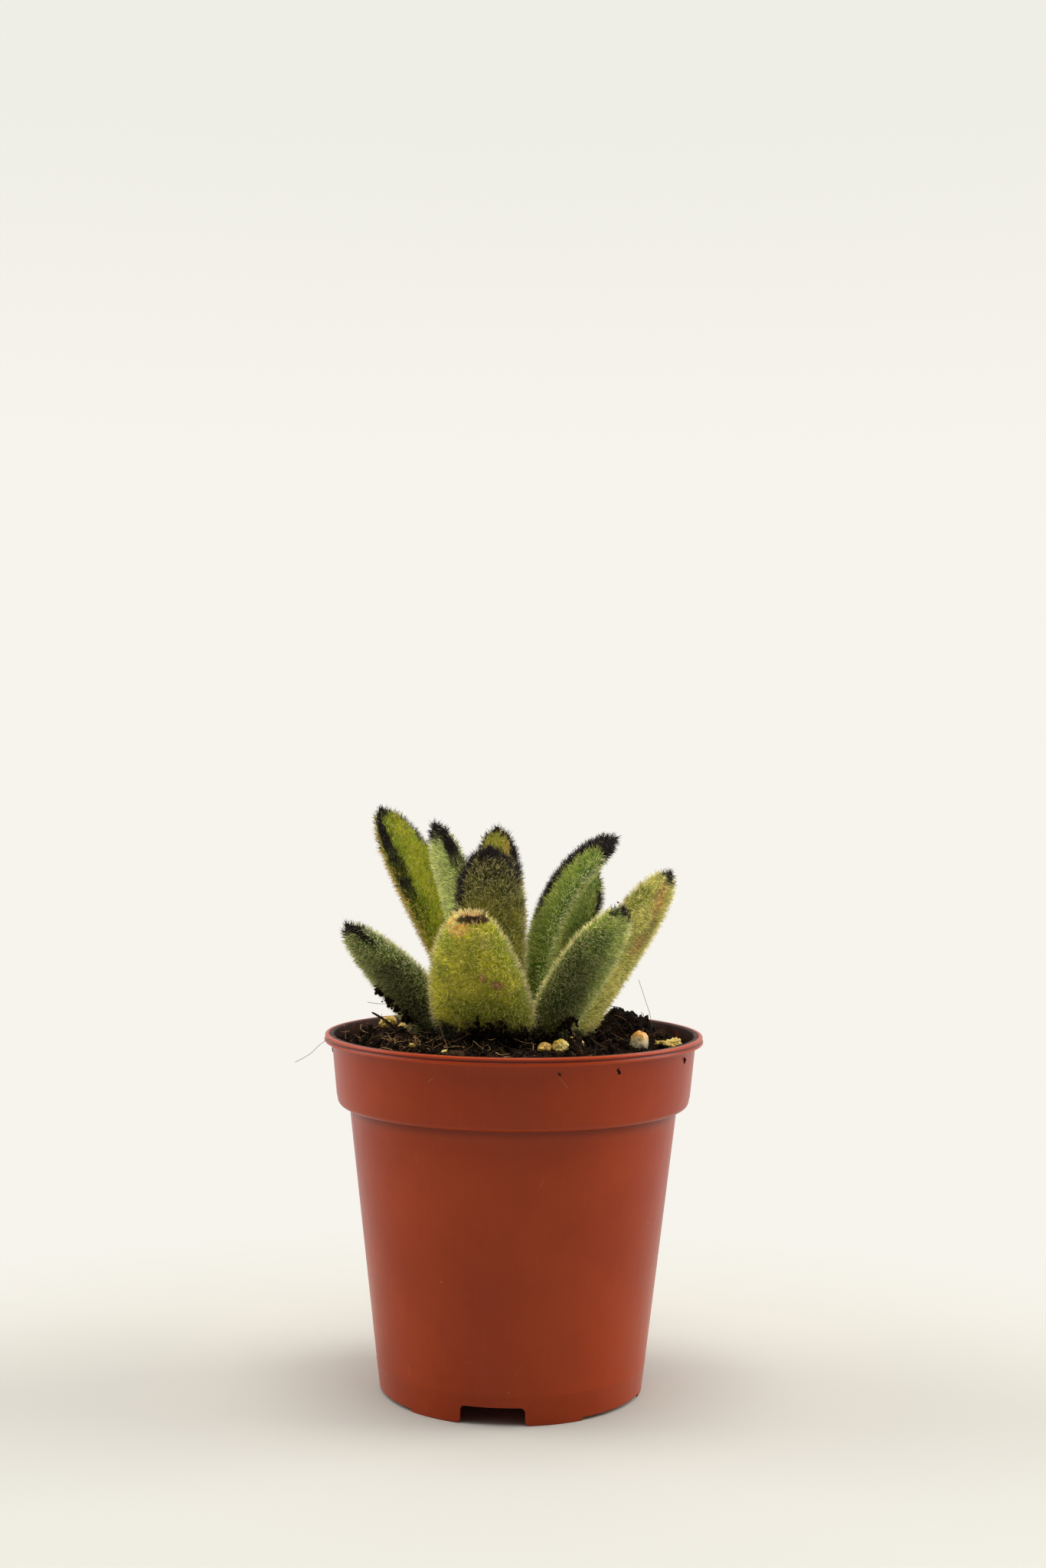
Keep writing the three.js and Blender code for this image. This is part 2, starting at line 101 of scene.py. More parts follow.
def solid(colour):
    return colour if isinstance(colour, bpy.types.NodeSocket) else (*colour[:3], 1)


def steps(tree, value, low, high, toLow=0.0, toHigh=1.0):
    inputs = {"Value": value, "From Min": low, "From Max": high, "To Min": toLow, "To Max": toHigh}
    return addNode(tree, "ShaderNodeMapRange", inputs, interpolation_type="SMOOTHSTEP").outputs[0]


def between(tree, value, rise, fall):
    # 1 between a rise and a fall, each a pair of values
    return times(tree, steps(tree, value, *rise), steps(tree, value, *fall))


def split(tree, vector):
    return addNode(tree, "ShaderNodeSeparateXYZ", {0: vector}).outputs


def vectors(tree, operation, *given):
    made = addNode(tree, "ShaderNodeVectorMath", dict(enumerate(given)), operation=operation)
    return made.outputs["Value" if operation == "LENGTH" else 0]


def scaled(tree, vector, share):
    inputs = {0: vector, "Scale": share}
    return addNode(tree, "ShaderNodeVectorMath", inputs, operation="SCALE").outputs[0]


def greyOf(tree, strength):
    return addNode(tree, "ShaderNodeCombineColor", {i: strength for i in range(3)}).outputs[0]


def noiseAt(tree, place, scale, detail=3.0, roughness=0.55):
    inputs = {"Vector": place, "Scale": scale, "Detail": detail, "Roughness": roughness}
    return addNode(tree, "ShaderNodeTexNoise", inputs).outputs[0]


def objectPlace(tree, stretch=(1, 1, 1)):
    # the place in the row frame, in metres, stretched where a pattern runs one way
    place = addNode(tree, "ShaderNodeTexCoord").outputs["Object"]
    return addNode(tree, "ShaderNodeMapping", {"Vector": place, "Scale": stretch}).outputs[0]


def attribute(tree, name, output="Fac"):
    return addNode(tree, "ShaderNodeAttribute", attribute_name=name).outputs[output]


def addBump(tree, shader, height, distance, strength=1.0):
    inputs = {"Height": height, "Distance": distance, "Strength": strength}
    made = addNode(tree, "ShaderNodeBump", inputs)
    tree.links.new(made.outputs[0], shader.inputs["Normal"])


def newMaterial(name, **finish):
    material = bpy.data.materials.new(name)
    material.use_nodes = True
    shader = material.node_tree.nodes["Principled BSDF"]
    for socket, value in finish.items():
        shader.inputs[socket.replace("_", " ")].default_value = value
    return material, material.node_tree, shader


def linked(name, data):
    made = bpy.data.objects.new(name, data)
    scene.collection.objects.link(made)
    return made


def addPart(points, faces, some, sides):
    # adds one closed part to a list of points and a list of faces
    faces += [tuple(len(points) + i for i in face) for face in sides]
    points += some


def band(low, high, count):
    # the faces between two rings of points
    return [(low + i, high + i, high + (i + 1) % count, low + (i + 1) % count) for i in range(count)]


def meshObject(name, points, faces, material=None):
    mesh = bpy.data.meshes.new(name)
    mesh.from_pydata([tuple(p) for p in points], [], faces)
    mesh.update()
    made = linked(name, mesh)
    if material:
        mesh.materials.append(material)
    return made


def smoothShade(thing, sharpAngle=None):
    thing.data.shade_smooth()
    if sharpAngle:
        thing.data.set_sharp_from_angle(angle=math.radians(sharpAngle))


def baked(thing, name):
    # the object with its modifiers applied, as a plain mesh under a new name
    bpy.context.view_layer.update()
    shown = thing.evaluated_get(bpy.context.evaluated_depsgraph_get())
    mesh = bpy.data.meshes.new_from_object(shown)
    mesh.name = name
    made = linked(name, mesh)
    bpy.data.objects.remove(thing)
    return made


def addTree(thing, tree, values):
    # the inputs go in by identifier, before the object is first evaluated
    modifier = thing.modifiers.new(tree.name, "NODES")
    modifier.node_group = tree
    for item in tree.interface.items_tree:
        if item.item_type == "SOCKET" and item.in_out == "INPUT" and item.name in values:
            modifier[item.identifier] = values[item.name]


def finished(piece, slot, *replaced):
    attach(piece, "root")
    if replaced:
        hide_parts(*replaced)


# Pot: a turned shell with a grooved lip and an upright collar, cut by notches, reliefs and drain holes

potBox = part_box("pot")
pot = {
    "height": potBox[1].z / mm, "rimRadius": potBox[1].x / mm,
    "lipReach": 1.1, "lipHeight": 1.1, "lipGroove": 0.57, "wall": 0.7,
    "innerWall": 0.3, "collarHeight": 9.1, "collarTaper": 0.9, "collarCorner": 0.9, "bodyStep": 1.7,
    "bodyDraft": 6.64, "footThickness": 1.1, "floorRaise": 3.0, "floorThickness": 0.9,
    "seamHeight": 4.1, "seamStep": 0.035,
    "notchCount": 3, "notchWidth": 9.0, "notchHeight": 2.6, "notchCorner": 0.7, "notchFlare": 0.8,
    "notchTurn": -7.3, "reliefSpan": 42.0, "reliefDepth": 0.5,
    "drainRadius": 2.4, "drainCircle": 10.5, "segments": 224,
}
collarTop = pot["rimRadius"] - pot["lipReach"]
collarFoot = collarTop - pot["collarTaper"]
collarZ = pot["height"] - pot["lipHeight"] - pot["collarHeight"]
bodyTop = collarFoot - pot["bodyStep"]
draft = math.tan(math.radians(pot["bodyDraft"]))
footRadius = bodyTop - collarZ * draft
floorTop = pot["floorRaise"] + pot["floorThickness"]
grooveZ = pot["height"] - pot["lipHeight"] + pot["lipGroove"]


def bodyRadius(z):
    return footRadius + z * draft


def collarRadius(z):
    return collarFoot + pot["collarTaper"] * (z - collarZ) / pot["collarHeight"]


def arc(x, z, radius, start, end, count):
    turns = [math.radians(start + (end - start) * i / count) for i in range(count + 1)]
    return [(x + radius * math.cos(t), z + radius * math.sin(t)) for t in turns]


def potProfile():
    # from the middle of the floor's underside, round the outside and back to the middle
    p = pot
    top = p["height"]
    lipFoot = top - p["lipHeight"]
    rim = p["rimRadius"]
    seam = p["seamHeight"]
    edge = 0.18
    corner = p["collarCorner"]
    wall = p["wall"]
    profile = [(0, p["floorRaise"]), (bodyRadius(p["floorRaise"]) - p["footThickness"], p["floorRaise"])]
    profile += arc(footRadius - p["footThickness"] + edge, edge, edge, 180, 270, 3)
    profile += arc(footRadius - edge, edge, edge, -90, 0, 4)
    # a fine seam that stands out of the wall
    for rise, share in ((-0.1, 0.3), (0, 1), (0.12, 0.8), (0.3, 0)):
        profile.append((bodyRadius(seam + rise) + p["seamStep"] * share, seam + rise))
    profile += [(bodyRadius(z), z) for z in np.linspace(seam + 3, collarZ - 0.35, 14)]
    profile += arc(bodyTop + 0.3, collarZ - 0.3, 0.3, 176, 95, 4)
    profile += arc(collarFoot - corner, collarZ + corner, corner, -88, 0, 8)
    profile += [(collarRadius(z), z) for z in np.linspace(collarZ + 1.6, lipFoot - 0.35, 6)]
    profile += arc(collarTop + 0.28, lipFoot - 0.28, 0.28, 175, 100, 4)
    profile += arc(rim - 0.24, lipFoot + 0.24, 0.24, -90, 40, 6)  # the lip's lower bead
    profile += arc(rim + 0.02, lipFoot + p["lipGroove"], 0.2, 240, 140, 5)  # the groove between its beads
    profile += arc(rim - 0.34, top - 0.25, 0.25, -20, 90, 6)  # its upper bead
    inner = p["innerWall"]
    profile += arc(collarTop - inner + 0.25, top - 0.21, 0.21, 90, 180, 4)
    profile += [(collarRadius(z) - inner, z) for z in np.linspace(lipFoot - 1, collarZ + wall + 0.4, 5)]
    profile += [(collarFoot - wall - 0.3, collarZ + wall), (bodyTop - wall, collarZ + wall)]
    profile += [(bodyRadius(floorTop) - wall, floorTop), (0, floorTop)]
    return [(max(0.0, x), z) for x, z in profile]


def turned(name, profile, segments, material):
    # a shell turned round the Z axis; the first and the last point lie on the axis
    points = [Vector((0, 0, profile[0][1])) * mm]
    for x, z in profile[1:-1]:
        points += [polar(360 * i / segments, x, z) * mm for i in range(segments)]
    points.append(Vector((0, 0, profile[-1][1])) * mm)
    faces = []
    for i in range(segments):
        after = (i + 1) % segments
        faces.append((0, 1 + after, 1 + i))
        for row in range(len(profile) - 3):
            low, high = 1 + row * segments, 1 + (row + 1) * segments
            faces.append((low + i, low + after, high + after, high + i))
        last = 1 + (len(profile) - 3) * segments
        faces.append((last + i, last + after, len(points) - 1))
    return meshObject(name, points, faces, material)


def prism(outline, low, high, place):
    # a closed block of an outline, from low to high along its own Z, set down by a matrix
    points = [place @ Vector((x, y, z)) * mm for z in (low, high) for x, y in outline]
    n = len(outline)
    faces = [tuple(range(n - 1, -1, -1)), tuple(range(n, 2 * n))]
    faces += [(i, (i + 1) % n, n + (i + 1) % n, n + i) for i in range(n)]
    return points, faces


def notchOutline():
    p = pot
    half, flare, corner = p["notchWidth"] / 2, p["notchFlare"], p["notchCorner"]
    right = [(half + flare, -1), (half + flare, 0)]
    right += arc(half + flare, flare, flare, -90, -180, 5)[1:]
    right += arc(half - corner, p["notchHeight"] - corner, corner, 0, 90, 6)
    return right + [(-x, z) for x, z in reversed(right)]


def reliefOutline():
    half = pot["reliefSpan"] / 2
    outside = arc(0, 0, footRadius + 2, -half, half, 24)
    inside = arc(0, 0, footRadius - pot["footThickness"] - 2, half, -half, 24)
    return outside + inside


def potCutters():
    parts = []
    count = pot["notchCount"]
    upright = Matrix.Rotation(math.radians(90), 4, "X")
    for i in range(count):
        turn = pot["notchTurn"] + 360 * i / count
        spin = Matrix.Rotation(math.radians(turn), 4, "Z")
        parts.append(prism(notchOutline(), footRadius * 0.5, footRadius * 1.5, spin @ upright))
        spin = Matrix.Rotation(math.radians(turn - 90 + 180 / count), 4, "Z")
        parts.append(prism(reliefOutline(), -1, pot["reliefDepth"], spin))
        hole = Matrix.Translation(polar(turn - 90 + 180 / count, pot["drainCircle"]))
        parts.append(prism(arc(0, 0, pot["drainRadius"], 0, 354, 59), floorTop - 2, floorTop + 1, hole))
    points, faces = [], []
    for some, sides in parts:
        addPart(points, faces, some, sides)
    return meshObject("potCutters", points, faces)


def plasticMaterial():
    material, tree, shader = newMaterial("terracottaPlastic", Specular_IOR_Level=plastic["gloss"])
    place = objectPlace(tree)
    z = split(tree, place)[2]
    cloud = noiseAt(tree, place, plastic["cloudScale"], 4)
    streaks = noiseAt(tree, objectPlace(tree, plastic["streakStretch"]), plastic["streakScale"], 4, 0.7)
    fine = noiseAt(tree, place, plastic["fineScale"], 2)
    colour = mixColours(tree, steps(tree, cloud, 0.3, 0.7), paint(*plastic["deep"]), paint(*plastic["main"]))
    colour = mixColours(tree, steps(tree, streaks, 0.45, 0.85, 0, 0.22), colour, paint(*plastic["worn"]))

    def coat(mask, share, shade):
        return mixColours(tree, times(tree, mask, share), colour, paint(*plastic[shade]))

    # painted shade in the angle under the collar
    rise, fall = ((collarZ - 1.6) * mm, (collarZ - 0.1) * mm), ((collarZ + 0.1) * mm, collarZ * mm)
    underCollarShade = between(tree, z, rise, fall)
    colour = coat(underCollarShade, 0.6, "paintedShade")
    # fine dust, a few dark grains and hairline scratches
    inputs = {"Vector": place, "Scale": plastic["dotScale"], "Randomness": 1.0}
    dots = addNode(tree, "ShaderNodeTexVoronoi", inputs)
    away = dots.outputs["Distance"]
    chosen = addNode(tree, "ShaderNodeSeparateColor", {0: dots.outputs["Color"]}).outputs
    speck = steps(tree, away, *plastic["speckEdge"])
    speck = times(tree, speck, steps(tree, chosen[0], *plastic["speckShare"]))
    grain = steps(tree, away, *plastic["grainEdge"])
    grain = times(tree, grain, steps(tree, chosen[1], *plastic["grainShare"]))
    colour = coat(speck, 0.55, "dust")
    colour = coat(grain, 0.8, "grimeAndShade")
    inputs = {"Vector": objectPlace(tree, (1, 1, 0.35)), "Scale": plastic["scratchScale"]}
    lines = addNode(tree, "ShaderNodeTexVoronoi", inputs, feature="DISTANCE_TO_EDGE").outputs[0]
    broken = steps(tree, noiseAt(tree, place, 240, 2), 0.62, 0.70)
    scratch = times(tree, steps(tree, lines, 0.006, 0.002), broken)
    colour = coat(scratch, 0.16, "dust")
    # soil dust and painted shade on the inside of the rim
    radius = vectors(tree, "LENGTH", vectors(tree, "MULTIPLY", place, (1, 1, 0)))
    slope = pot["collarTaper"] / pot["collarHeight"]
    outside = maths(tree, "MULTIPLY_ADD", z, slope, (collarFoot - collarZ * slope) * mm)
    inside = steps(tree, maths(tree, "SUBTRACT", outside, radius), 0.08 * mm, 0.24 * mm)
    aloft = steps(tree, z, (collarZ + 2) * mm, (collarZ + 3) * mm)
    dusty = steps(tree, noiseAt(tree, place, 520, 4, 0.7), 0.22, 0.46)
    dirtAndShade = times(tree, times(tree, inside, aloft), dusty)
    onTop = steps(tree, z, (pot["height"] - 0.3) * mm, (pot["height"] - 0.15) * mm)
    within = steps(tree, radius, (pot["rimRadius"] - 0.5) * mm, (pot["rimRadius"] - 0.8) * mm)
    dirtAndShade = maths(tree, "MAXIMUM", dirtAndShade, times(tree, times(tree, onTop, within), dusty))
    # painted highlight: the lip is lighter and redder; painted shade darkens the groove between its beads
    paintedShade = maths(tree, "ABSOLUTE", maths(tree, "SUBTRACT", z, grooveZ * mm))
    paintedShade = steps(tree, paintedShade, 0.24 * mm, 0.08 * mm)
    above = steps(tree, z, (grooveZ - 0.6) * mm, (grooveZ - 0.5) * mm)
    lipHighlight = times(tree, above, maths(tree, "SUBTRACT", 1.0, inside))
    out = steps(tree, radius, (collarTop + 0.3) * mm, (collarTop + 0.6) * mm)
    colour = coat(lipHighlight, 0.4, "lipHighlight")
    # painted shade along the groove between the lip's beads
    colour = coat(times(tree, paintedShade, out), 0.85, "paintedShade")
    # soil dust and painted shade darken the inside of the rim
    colour = coat(dirtAndShade, 0.93, "grimeAndShade")
    tree.links.new(colour, shader.inputs["Base Color"])
    smoothness = steps(tree, streaks, 0.3, 0.8, plastic["roughness"], plastic["roughness"] + 0.1)
    tree.links.new(maths(tree, "ADD", smoothness, times(tree, dirtAndShade, 0.3)), shader.inputs["Roughness"])
    height = maths(tree, "ADD", times(tree, fine, 0.3), times(tree, streaks, 0.5))
    height = maths(tree, "SUBTRACT", maths(tree, "ADD", height, times(tree, speck, 1.5)), scratch)
    addBump(tree, shader, height, 0.00004, 0.35)
    return material


plastic = {
    "main": (160, 56, 9), "deep": (148, 49, 6), "worn": (168, 70, 25), "dust": (214, 160, 120),
    "grimeAndShade": (36, 22, 13), "lipHighlight": (184, 62, 14), "paintedShade": (84, 20, 4), "roughness": 0.28, "gloss": 0.22,
    "cloudScale": 60, "streakScale": 1500, "streakStretch": (1, 1, 0.03), "fineScale": 2600,
    "dotScale": 420.0, "speckEdge": (0.075, 0.03), "speckShare": (0.90, 0.93),
    "grainEdge": (0.04, 0.02), "grainShare": (0.984, 0.99), "scratchScale": 130.0,
}
print("pot: turning the shell")
shell = turned("potShell", potProfile(), pot["segments"], plasticMaterial())
cutters = potCutters()
cut = shell.modifiers.new("feet and drains", "BOOLEAN")
cut.operation = "DIFFERENCE"
cut.solver = "EXACT"
cut.object = cutters
potPiece = baked(shell, "nursery_pot")
bpy.data.objects.remove(cutters)
smoothShade(potPiece, 35)
finished(potPiece, "terracotta_plastic", "pot")


# Potting soil: a rough black-brown bed with crumbs, chips and fibres on it

soil = {
    "drop": 1.2, "moundHeight": 3.0, "moundRadius": 6.5, "moundAzimuth": 37.0, "moundInset": 5.6,
    "clearance": 0.08, "lumps": 1.1, "lumpSize": 2.4, "crumble": 0.55, "crumbleSize": 0.8,
    "rings": 84, "segments": 300,
    "heaps": [
        (-3.5, -12.4, 1.5, 3.4), (1.5, -12.2, 1.0, 2.6), (8.6, -10.2, 1.6, 2.6), (-15.5, -6.5, 1.6, 3.2),
    ],
    "peat": (32, 21, 12), "moist": (11, 7, 5), "tan": (120, 88, 50),
}
soilLevel = pot["height"] - soil["drop"]
soilEdge = collarRadius(soilLevel) - pot["innerWall"] - soil["clearance"]


def soilBase(x, y):
    mound = polar(soil["moundAzimuth"], soilEdge - soil["moundInset"])
    away = math.hypot(x - mound.x, y - mound.y) / soil["moundRadius"]
    hill = soil["moundHeight"] * math.cos(away * math.pi / 2) ** 2 if away < 1 else 0
    return soilLevel + hill


def soilHeap(x, y):
    # small heaps, each with its place, height and radius
    height = 0
    for heapX, heapY, rise, radius in soil["heaps"]:
        away = math.hypot(x - heapX, y - heapY) / radius
        height += rise * math.cos(away * math.pi / 2) ** 2 if away < 1 else 0
    return height


def soilTop(x, y):
    lumps = noise.noise(Vector((x, y, 3.1)) / soil["lumpSize"]) * soil["lumps"]
    ridges = 1 - abs(noise.noise(Vector((x, y, 9.7)) / 1.7)) * 2
    crumble = noise.fractal(Vector((x, y, 0.4)) / soil["crumbleSize"], 0.7, 2.1, 3) * soil["crumble"]
    edge = ease(soilEdge - 3.2, soilEdge, math.hypot(x, y))
    return soilBase(x, y) + soilHeap(x, y) + lumps + 0.25 * ridges + crumble - 0.35 - 0.75 * edge


def soilMaterial():
    material, tree, shader = newMaterial("peatSoil", Roughness=0.94, Specular_IOR_Level=0.08)
    place = objectPlace(tree)
    patches = noiseAt(tree, place, 480, 4, 0.65)
    grains = noiseAt(tree, place, 2300, 3, 0.7)
    colour = mixColours(tree, steps(tree, patches, 0.38, 0.66), paint(*soil["moist"]), paint(*soil["peat"]))
    colour = mixColours(tree, steps(tree, grains, 0.60, 0.76, 0, 0.5), colour, paint(*soil["tan"]))
    tree.links.new(colour, shader.inputs["Base Color"])
    addBump(tree, shader, grains, 0.00025, 0.8)
    return material


def soilBed(material):
    segments, rings = soil["segments"], soil["rings"]
    points = [Vector((0, 0, soilTop(0, 0))) * mm]
    for ring in range(1, rings + 1):
        radius = soilEdge * ring / rings
        for i in range(segments):
            spot = polar(360 * i / segments, radius)
            points.append(Vector((spot.x, spot.y, soilTop(spot.x, spot.y))) * mm)
    clear = pot["wall"] + soil["clearance"]
    bottom = floorTop + soil["clearance"]
    skirt = [
        (soilEdge - 0.25, soilLevel - 3), (collarFoot - clear, collarZ + clear),
        (bodyTop - clear, collarZ + clear), (bodyRadius(bottom) - clear, bottom),
    ]
    for radius, z in skirt:
        points += [polar(360 * i / segments, radius, z) * mm for i in range(segments)]
    points.append(Vector((0, 0, bottom)) * mm)
    faces = [(0, 1 + i, 1 + (i + 1) % segments) for i in range(segments)]
    for row in range(rings + len(skirt) - 1):
        faces += band(1 + row * segments, 1 + (row + 1) * segments, segments)
    last = len(points) - 1 - segments
    faces += [(last + i, len(points) - 1, last + (i + 1) % segments) for i in range(segments)]
    return meshObject("soil_bed", points, faces, material)


print("soil: laying the bed")
peat = soilMaterial()
bed = soilBed(peat)
smoothShade(bed, 50)
finished(bed, "soil", "potting_soil")


# Leaves: each is lofted finely over the rings of its solid, then painted and given its fuzz

leafMesh = {
    "sides": 12, "stations": 84, "round": 48, "bumps": 0.10, "bumpSize": 2.4, "ripple": 0.035,
    "rippleSize": 0.7, "teeth": 0.09, "toothRate": 2.4, "feltDepth": 0.22,
    "closing": [0.3, 0.55, 0.76, 0.92],  # rings that close the tip, as shares of its last bulge
}
shades = {
    "black": (26, 16, 10), "brown": (84, 50, 28), "rust": (140, 78, 48), "tan": (214, 170, 104),
    "fawn": (230, 214, 158), "silver": (222, 218, 184), "grey": (182, 174, 142),
    "soil": (34, 23, 13), "pink": (196, 140, 100), "amber": (240, 188, 84), "straw": (226, 214, 130),
}
# skin and second are the greens under the fuzz, down is the fuzz over them; tip is the share of the length
# where the dark tip begins. The right margin is the one on the right as one looks at the leaf's rounded outer
# side with its tip up. Each margin is dark from one share of the length on, between two shares of the half
# width, and then come the shade of its fringe and how far its dark line is broken up. dust is how far above
# the soil the leaf is dirty. A patch has its place along and across, its size, its shade, its strength and
# its side. What a leaf leaves out is as in plainLeaf.
plainLeaf = {"dust": 0.0, "narrow": 0.97, "inner": False, "fade": 0.16, "smoke": 0.0, "patches": []}
leafLooks = {
    "leaf_front": {
        "skin": (134, 148, 20), "second": (178, 178, 40), "down": (228, 216, 124), "tip": 1.2,
        "right": (1.2, 0.9, 1.1, "grey", 0.8), "left": (1.2, 0.9, 1.1, "grey", 0.8),
        "dust": 5.2, "narrow": 1.0,
        "patches": [
            (0.7, 0.26, 0.024, "pink", 1.0, 1), (0.655, 0.54, 0.026, "pink", 1.0, 1),
            (0.45, -0.25, 0.025, "brown", 0.5, 1), (0.9, 0.5, 0.06, "straw", 0.35, 1),
        ],
    },
    "leaf_centre": {
        "skin": (88, 96, 24), "second": (124, 122, 42), "down": (176, 162, 98), "tip": 0.935,
        "right": (0.6, 0.76, 1.1, "grey", 0.8), "left": (0.62, 0.74, 1.1, "grey", 0.8),
        "smoke": 0.8,
    },
    "leaf_left_low": {
        "skin": (62, 86, 20), "second": (94, 114, 38), "down": (208, 208, 148), "tip": 0.955,
        "right": (0.8, 0.55, 0.88, "silver", 0.8), "left": (0.95, 0.8, 1.1, "silver", 0.8),
        "dust": 2.6, "narrow": 0.95,
        "patches": [
            (0.66, 0.3, 0.16, "black", 0.65, 1), (0.42, 0.35, 0.16, "black", 0.65, 1),
        ],
    },
    "leaf_left_tall": {
        "skin": (104, 126, 8), "second": (142, 148, 26), "down": (172, 168, 44), "tip": 0.975,
        "right": (0.38, 0.58, 0.97, "tan", 0.25), "left": (0.52, 0.72, 1.1, "straw", 0.5),
        "inner": True, "fade": 0.42,
    },
    "leaf_left_inner": {
        "skin": (130, 146, 60), "second": (152, 166, 88), "down": (232, 234, 178), "tip": 0.94,
        "right": (0.62, 0.56, 1.1, "grey", 0.7), "left": (0.96, 0.8, 1.1, "fawn", 0.8),
        "narrow": 0.92,
    },
    "leaf_back_centre": {
        "skin": (132, 136, 30), "second": (160, 152, 50), "down": (190, 180, 96), "tip": 0.96,
        "right": (0.66, 0.82, 1.1, "fawn", 0.8), "left": (0.66, 0.7, 1.1, "fawn", 0.8),
        "inner": True,
        "patches": [
            (0.86, -0.85, 0.1, "rust", 0.4, 0),
        ],
    },
    "leaf_right_tall": {
        "skin": (72, 108, 12), "second": (104, 130, 30), "down": (180, 184, 98), "tip": 0.9,
        "right": (0.46, 0.0, 1.1, "fawn", 0.25), "left": (0.93, 0.6, 1.1, "silver", 0.8),
        "inner": True,
    },
    "leaf_right_behind": {
        "skin": (74, 106, 34), "second": (110, 122, 48), "down": (170, 178, 116), "tip": 1.2,
        "right": (1.2, 0.8, 1.1, "silver", 0.8), "left": (0.66, 0.9, 1.1, "grey", 0.5),
        "patches": [
            (0.35, 0.0, 0.3, "straw", 0.3, 0), (0.35, 0.0, 0.3, "straw", 0.3, 1),
        ],
    },
    "leaf_right_front": {
        "skin": (84, 116, 22), "second": (120, 144, 46), "down": (214, 212, 150), "tip": 0.955,
        "right": (0.95, 0.8, 1.1, "silver", 0.8), "left": (0.93, 0.8, 1.1, "fawn", 0.8),
        "dust": 4.0, "narrow": 0.93,
        "patches": [
            (0.5, -0.6, 0.24, "black", 0.55, 1), (0.75, -0.55, 0.14, "black", 0.35, 1),
        ],
    },
    "leaf_right_outer": {
        "skin": (134, 144, 50), "second": (172, 170, 86), "down": (236, 226, 164), "tip": 0.975,
        "right": (0.97, 0.8, 1.1, "fawn", 0.8), "left": (0.97, 0.8, 1.1, "fawn", 0.8),
        "dust": 2.0, "narrow": 0.95,
        "patches": [
            (0.7, 0.2, 0.05, "pink", 0.75, 1), (0.78, 0.4, 0.05, "brown", 0.5, 1),
            (0.88, 0.1, 0.06, "tan", 0.7, 1), (0.92, -0.3, 0.05, "pink", 0.5, 1),
            (0.83, 0.25, 0.04, "brown", 0.4, 1),
        ],
    },
    "leaf_rear_low": {
        "skin": (88, 112, 26), "second": (126, 134, 44), "down": (190, 190, 116), "tip": 0.92,
        "right": (0.55, 0.76, 1.1, "fawn", 0.8), "left": (0.6, 0.76, 1.1, "fawn", 0.8),
        "dust": 2.0,
    },
    "young_leaf_back": {
        "skin": (140, 150, 64), "second": (156, 160, 84), "down": (216, 216, 156), "tip": 0.88,
        "right": (0.8, 0.8, 1.1, "silver", 0.8), "left": (0.8, 0.8, 1.1, "silver", 0.8),
        "narrow": 1.0,
    },
    "young_leaf_front": {
        "skin": (140, 150, 64), "second": (156, 160, 84), "down": (216, 216, 156), "tip": 0.88,
        "right": (0.8, 0.8, 1.1, "silver", 0.8), "left": (0.8, 0.8, 1.1, "silver", 0.8),
        "narrow": 1.0,
    },
}


def shadeOf(name):
    return paint(*shades[name])


def readRings(name):
    # the rings of points that a leaf's solid is lofted over, each in order, from the foot to the tip
    shape = bmesh.new()
    shape.from_mesh(cadNodes[name].data)
    bmesh.ops.remove_doubles(shape, verts=shape.verts, dist=1e-4 * mm)
    poles = [v for v in shape.verts if len(v.link_edges) == leafMesh["sides"]]
    foot = min(poles, key=lambda v: v.co.z)
    seen, ring, rings = {foot}, {e.other_vert(foot) for e in foot.link_edges}, []
    while len(ring) == leafMesh["sides"]:
        ordered = [min(ring, key=lambda v: v.index)]
        while len(ordered) < len(ring):
            last = ordered[-1]
            beside = [e.other_vert(last) for e in last.link_edges]
            ordered.append(next(v for v in beside if v in ring and v not in ordered))
        rings.append([v.co / mm for v in ordered])
        seen |= ring
        ring = {e.other_vert(v) for v in ring for e in v.link_edges} - seen
    shape.free()
    return rings


def readSections(name):
    # for each ring its middle, its half width as a vector, and its bulge to the outer and inner side
    rings = readRings(name)
    half, quarter = leafMesh["sides"] // 2, leafMesh["sides"] // 4
    rows = []
    for ring in rings:
        k = max(range(half), key=lambda j: (ring[j] - ring[j + half]).length)
        middle = (ring[k] + ring[k + half]) / 2
        sides = [ring[(k + quarter) % len(ring)] - middle, ring[(k - quarter) % len(ring)] - middle]
        sides.sort(key=lambda v: -v.length)
        rows.append([middle, (ring[k] - ring[k + half]) / 2, sides[0], sides[1]])
    for i, row in enumerate(rows):
        a, b = rows[max(0, i - 1)][0], rows[min(len(rows) - 1, i + 1)][0]
        if row[1].dot((b - a).cross(row[2])) < 0:
            row[1] = -row[1]
    return np.array([[list(v) for v in row] for row in rows])


def smoothRows(rows, count):
    # a smooth curve through the rows, at even steps that close up towards the tip
    gaps = np.linalg.norm(np.diff(rows[:, 0], axis=0), axis=1)
    at = np.concatenate([[0], np.cumsum(gaps)])
    slope = np.gradient(rows.reshape(len(rows), -1), at, axis=0, edge_order=1)
    flat = rows.reshape(len(rows), -1)
    wanted = at[-1] * (1 - (1 - np.linspace(0, 1, count)) ** 1.35)
    low = np.clip(np.searchsorted(at, wanted, side="right") - 1, 0, len(at) - 2)
    span = (at[low + 1] - at[low])[:, None]
    t = (wanted - at[low])[:, None] / span
    made = (2 * t**3 - 3 * t**2 + 1) * flat[low] + (t**3 - 2 * t**2 + t) * span * slope[low]
    made += (-2 * t**3 + 3 * t**2) * flat[low + 1] + (t**3 - t**2) * span * slope[low + 1]
    return made.reshape(count, *rows.shape[1:]), wanted / at[-1], at[-1]


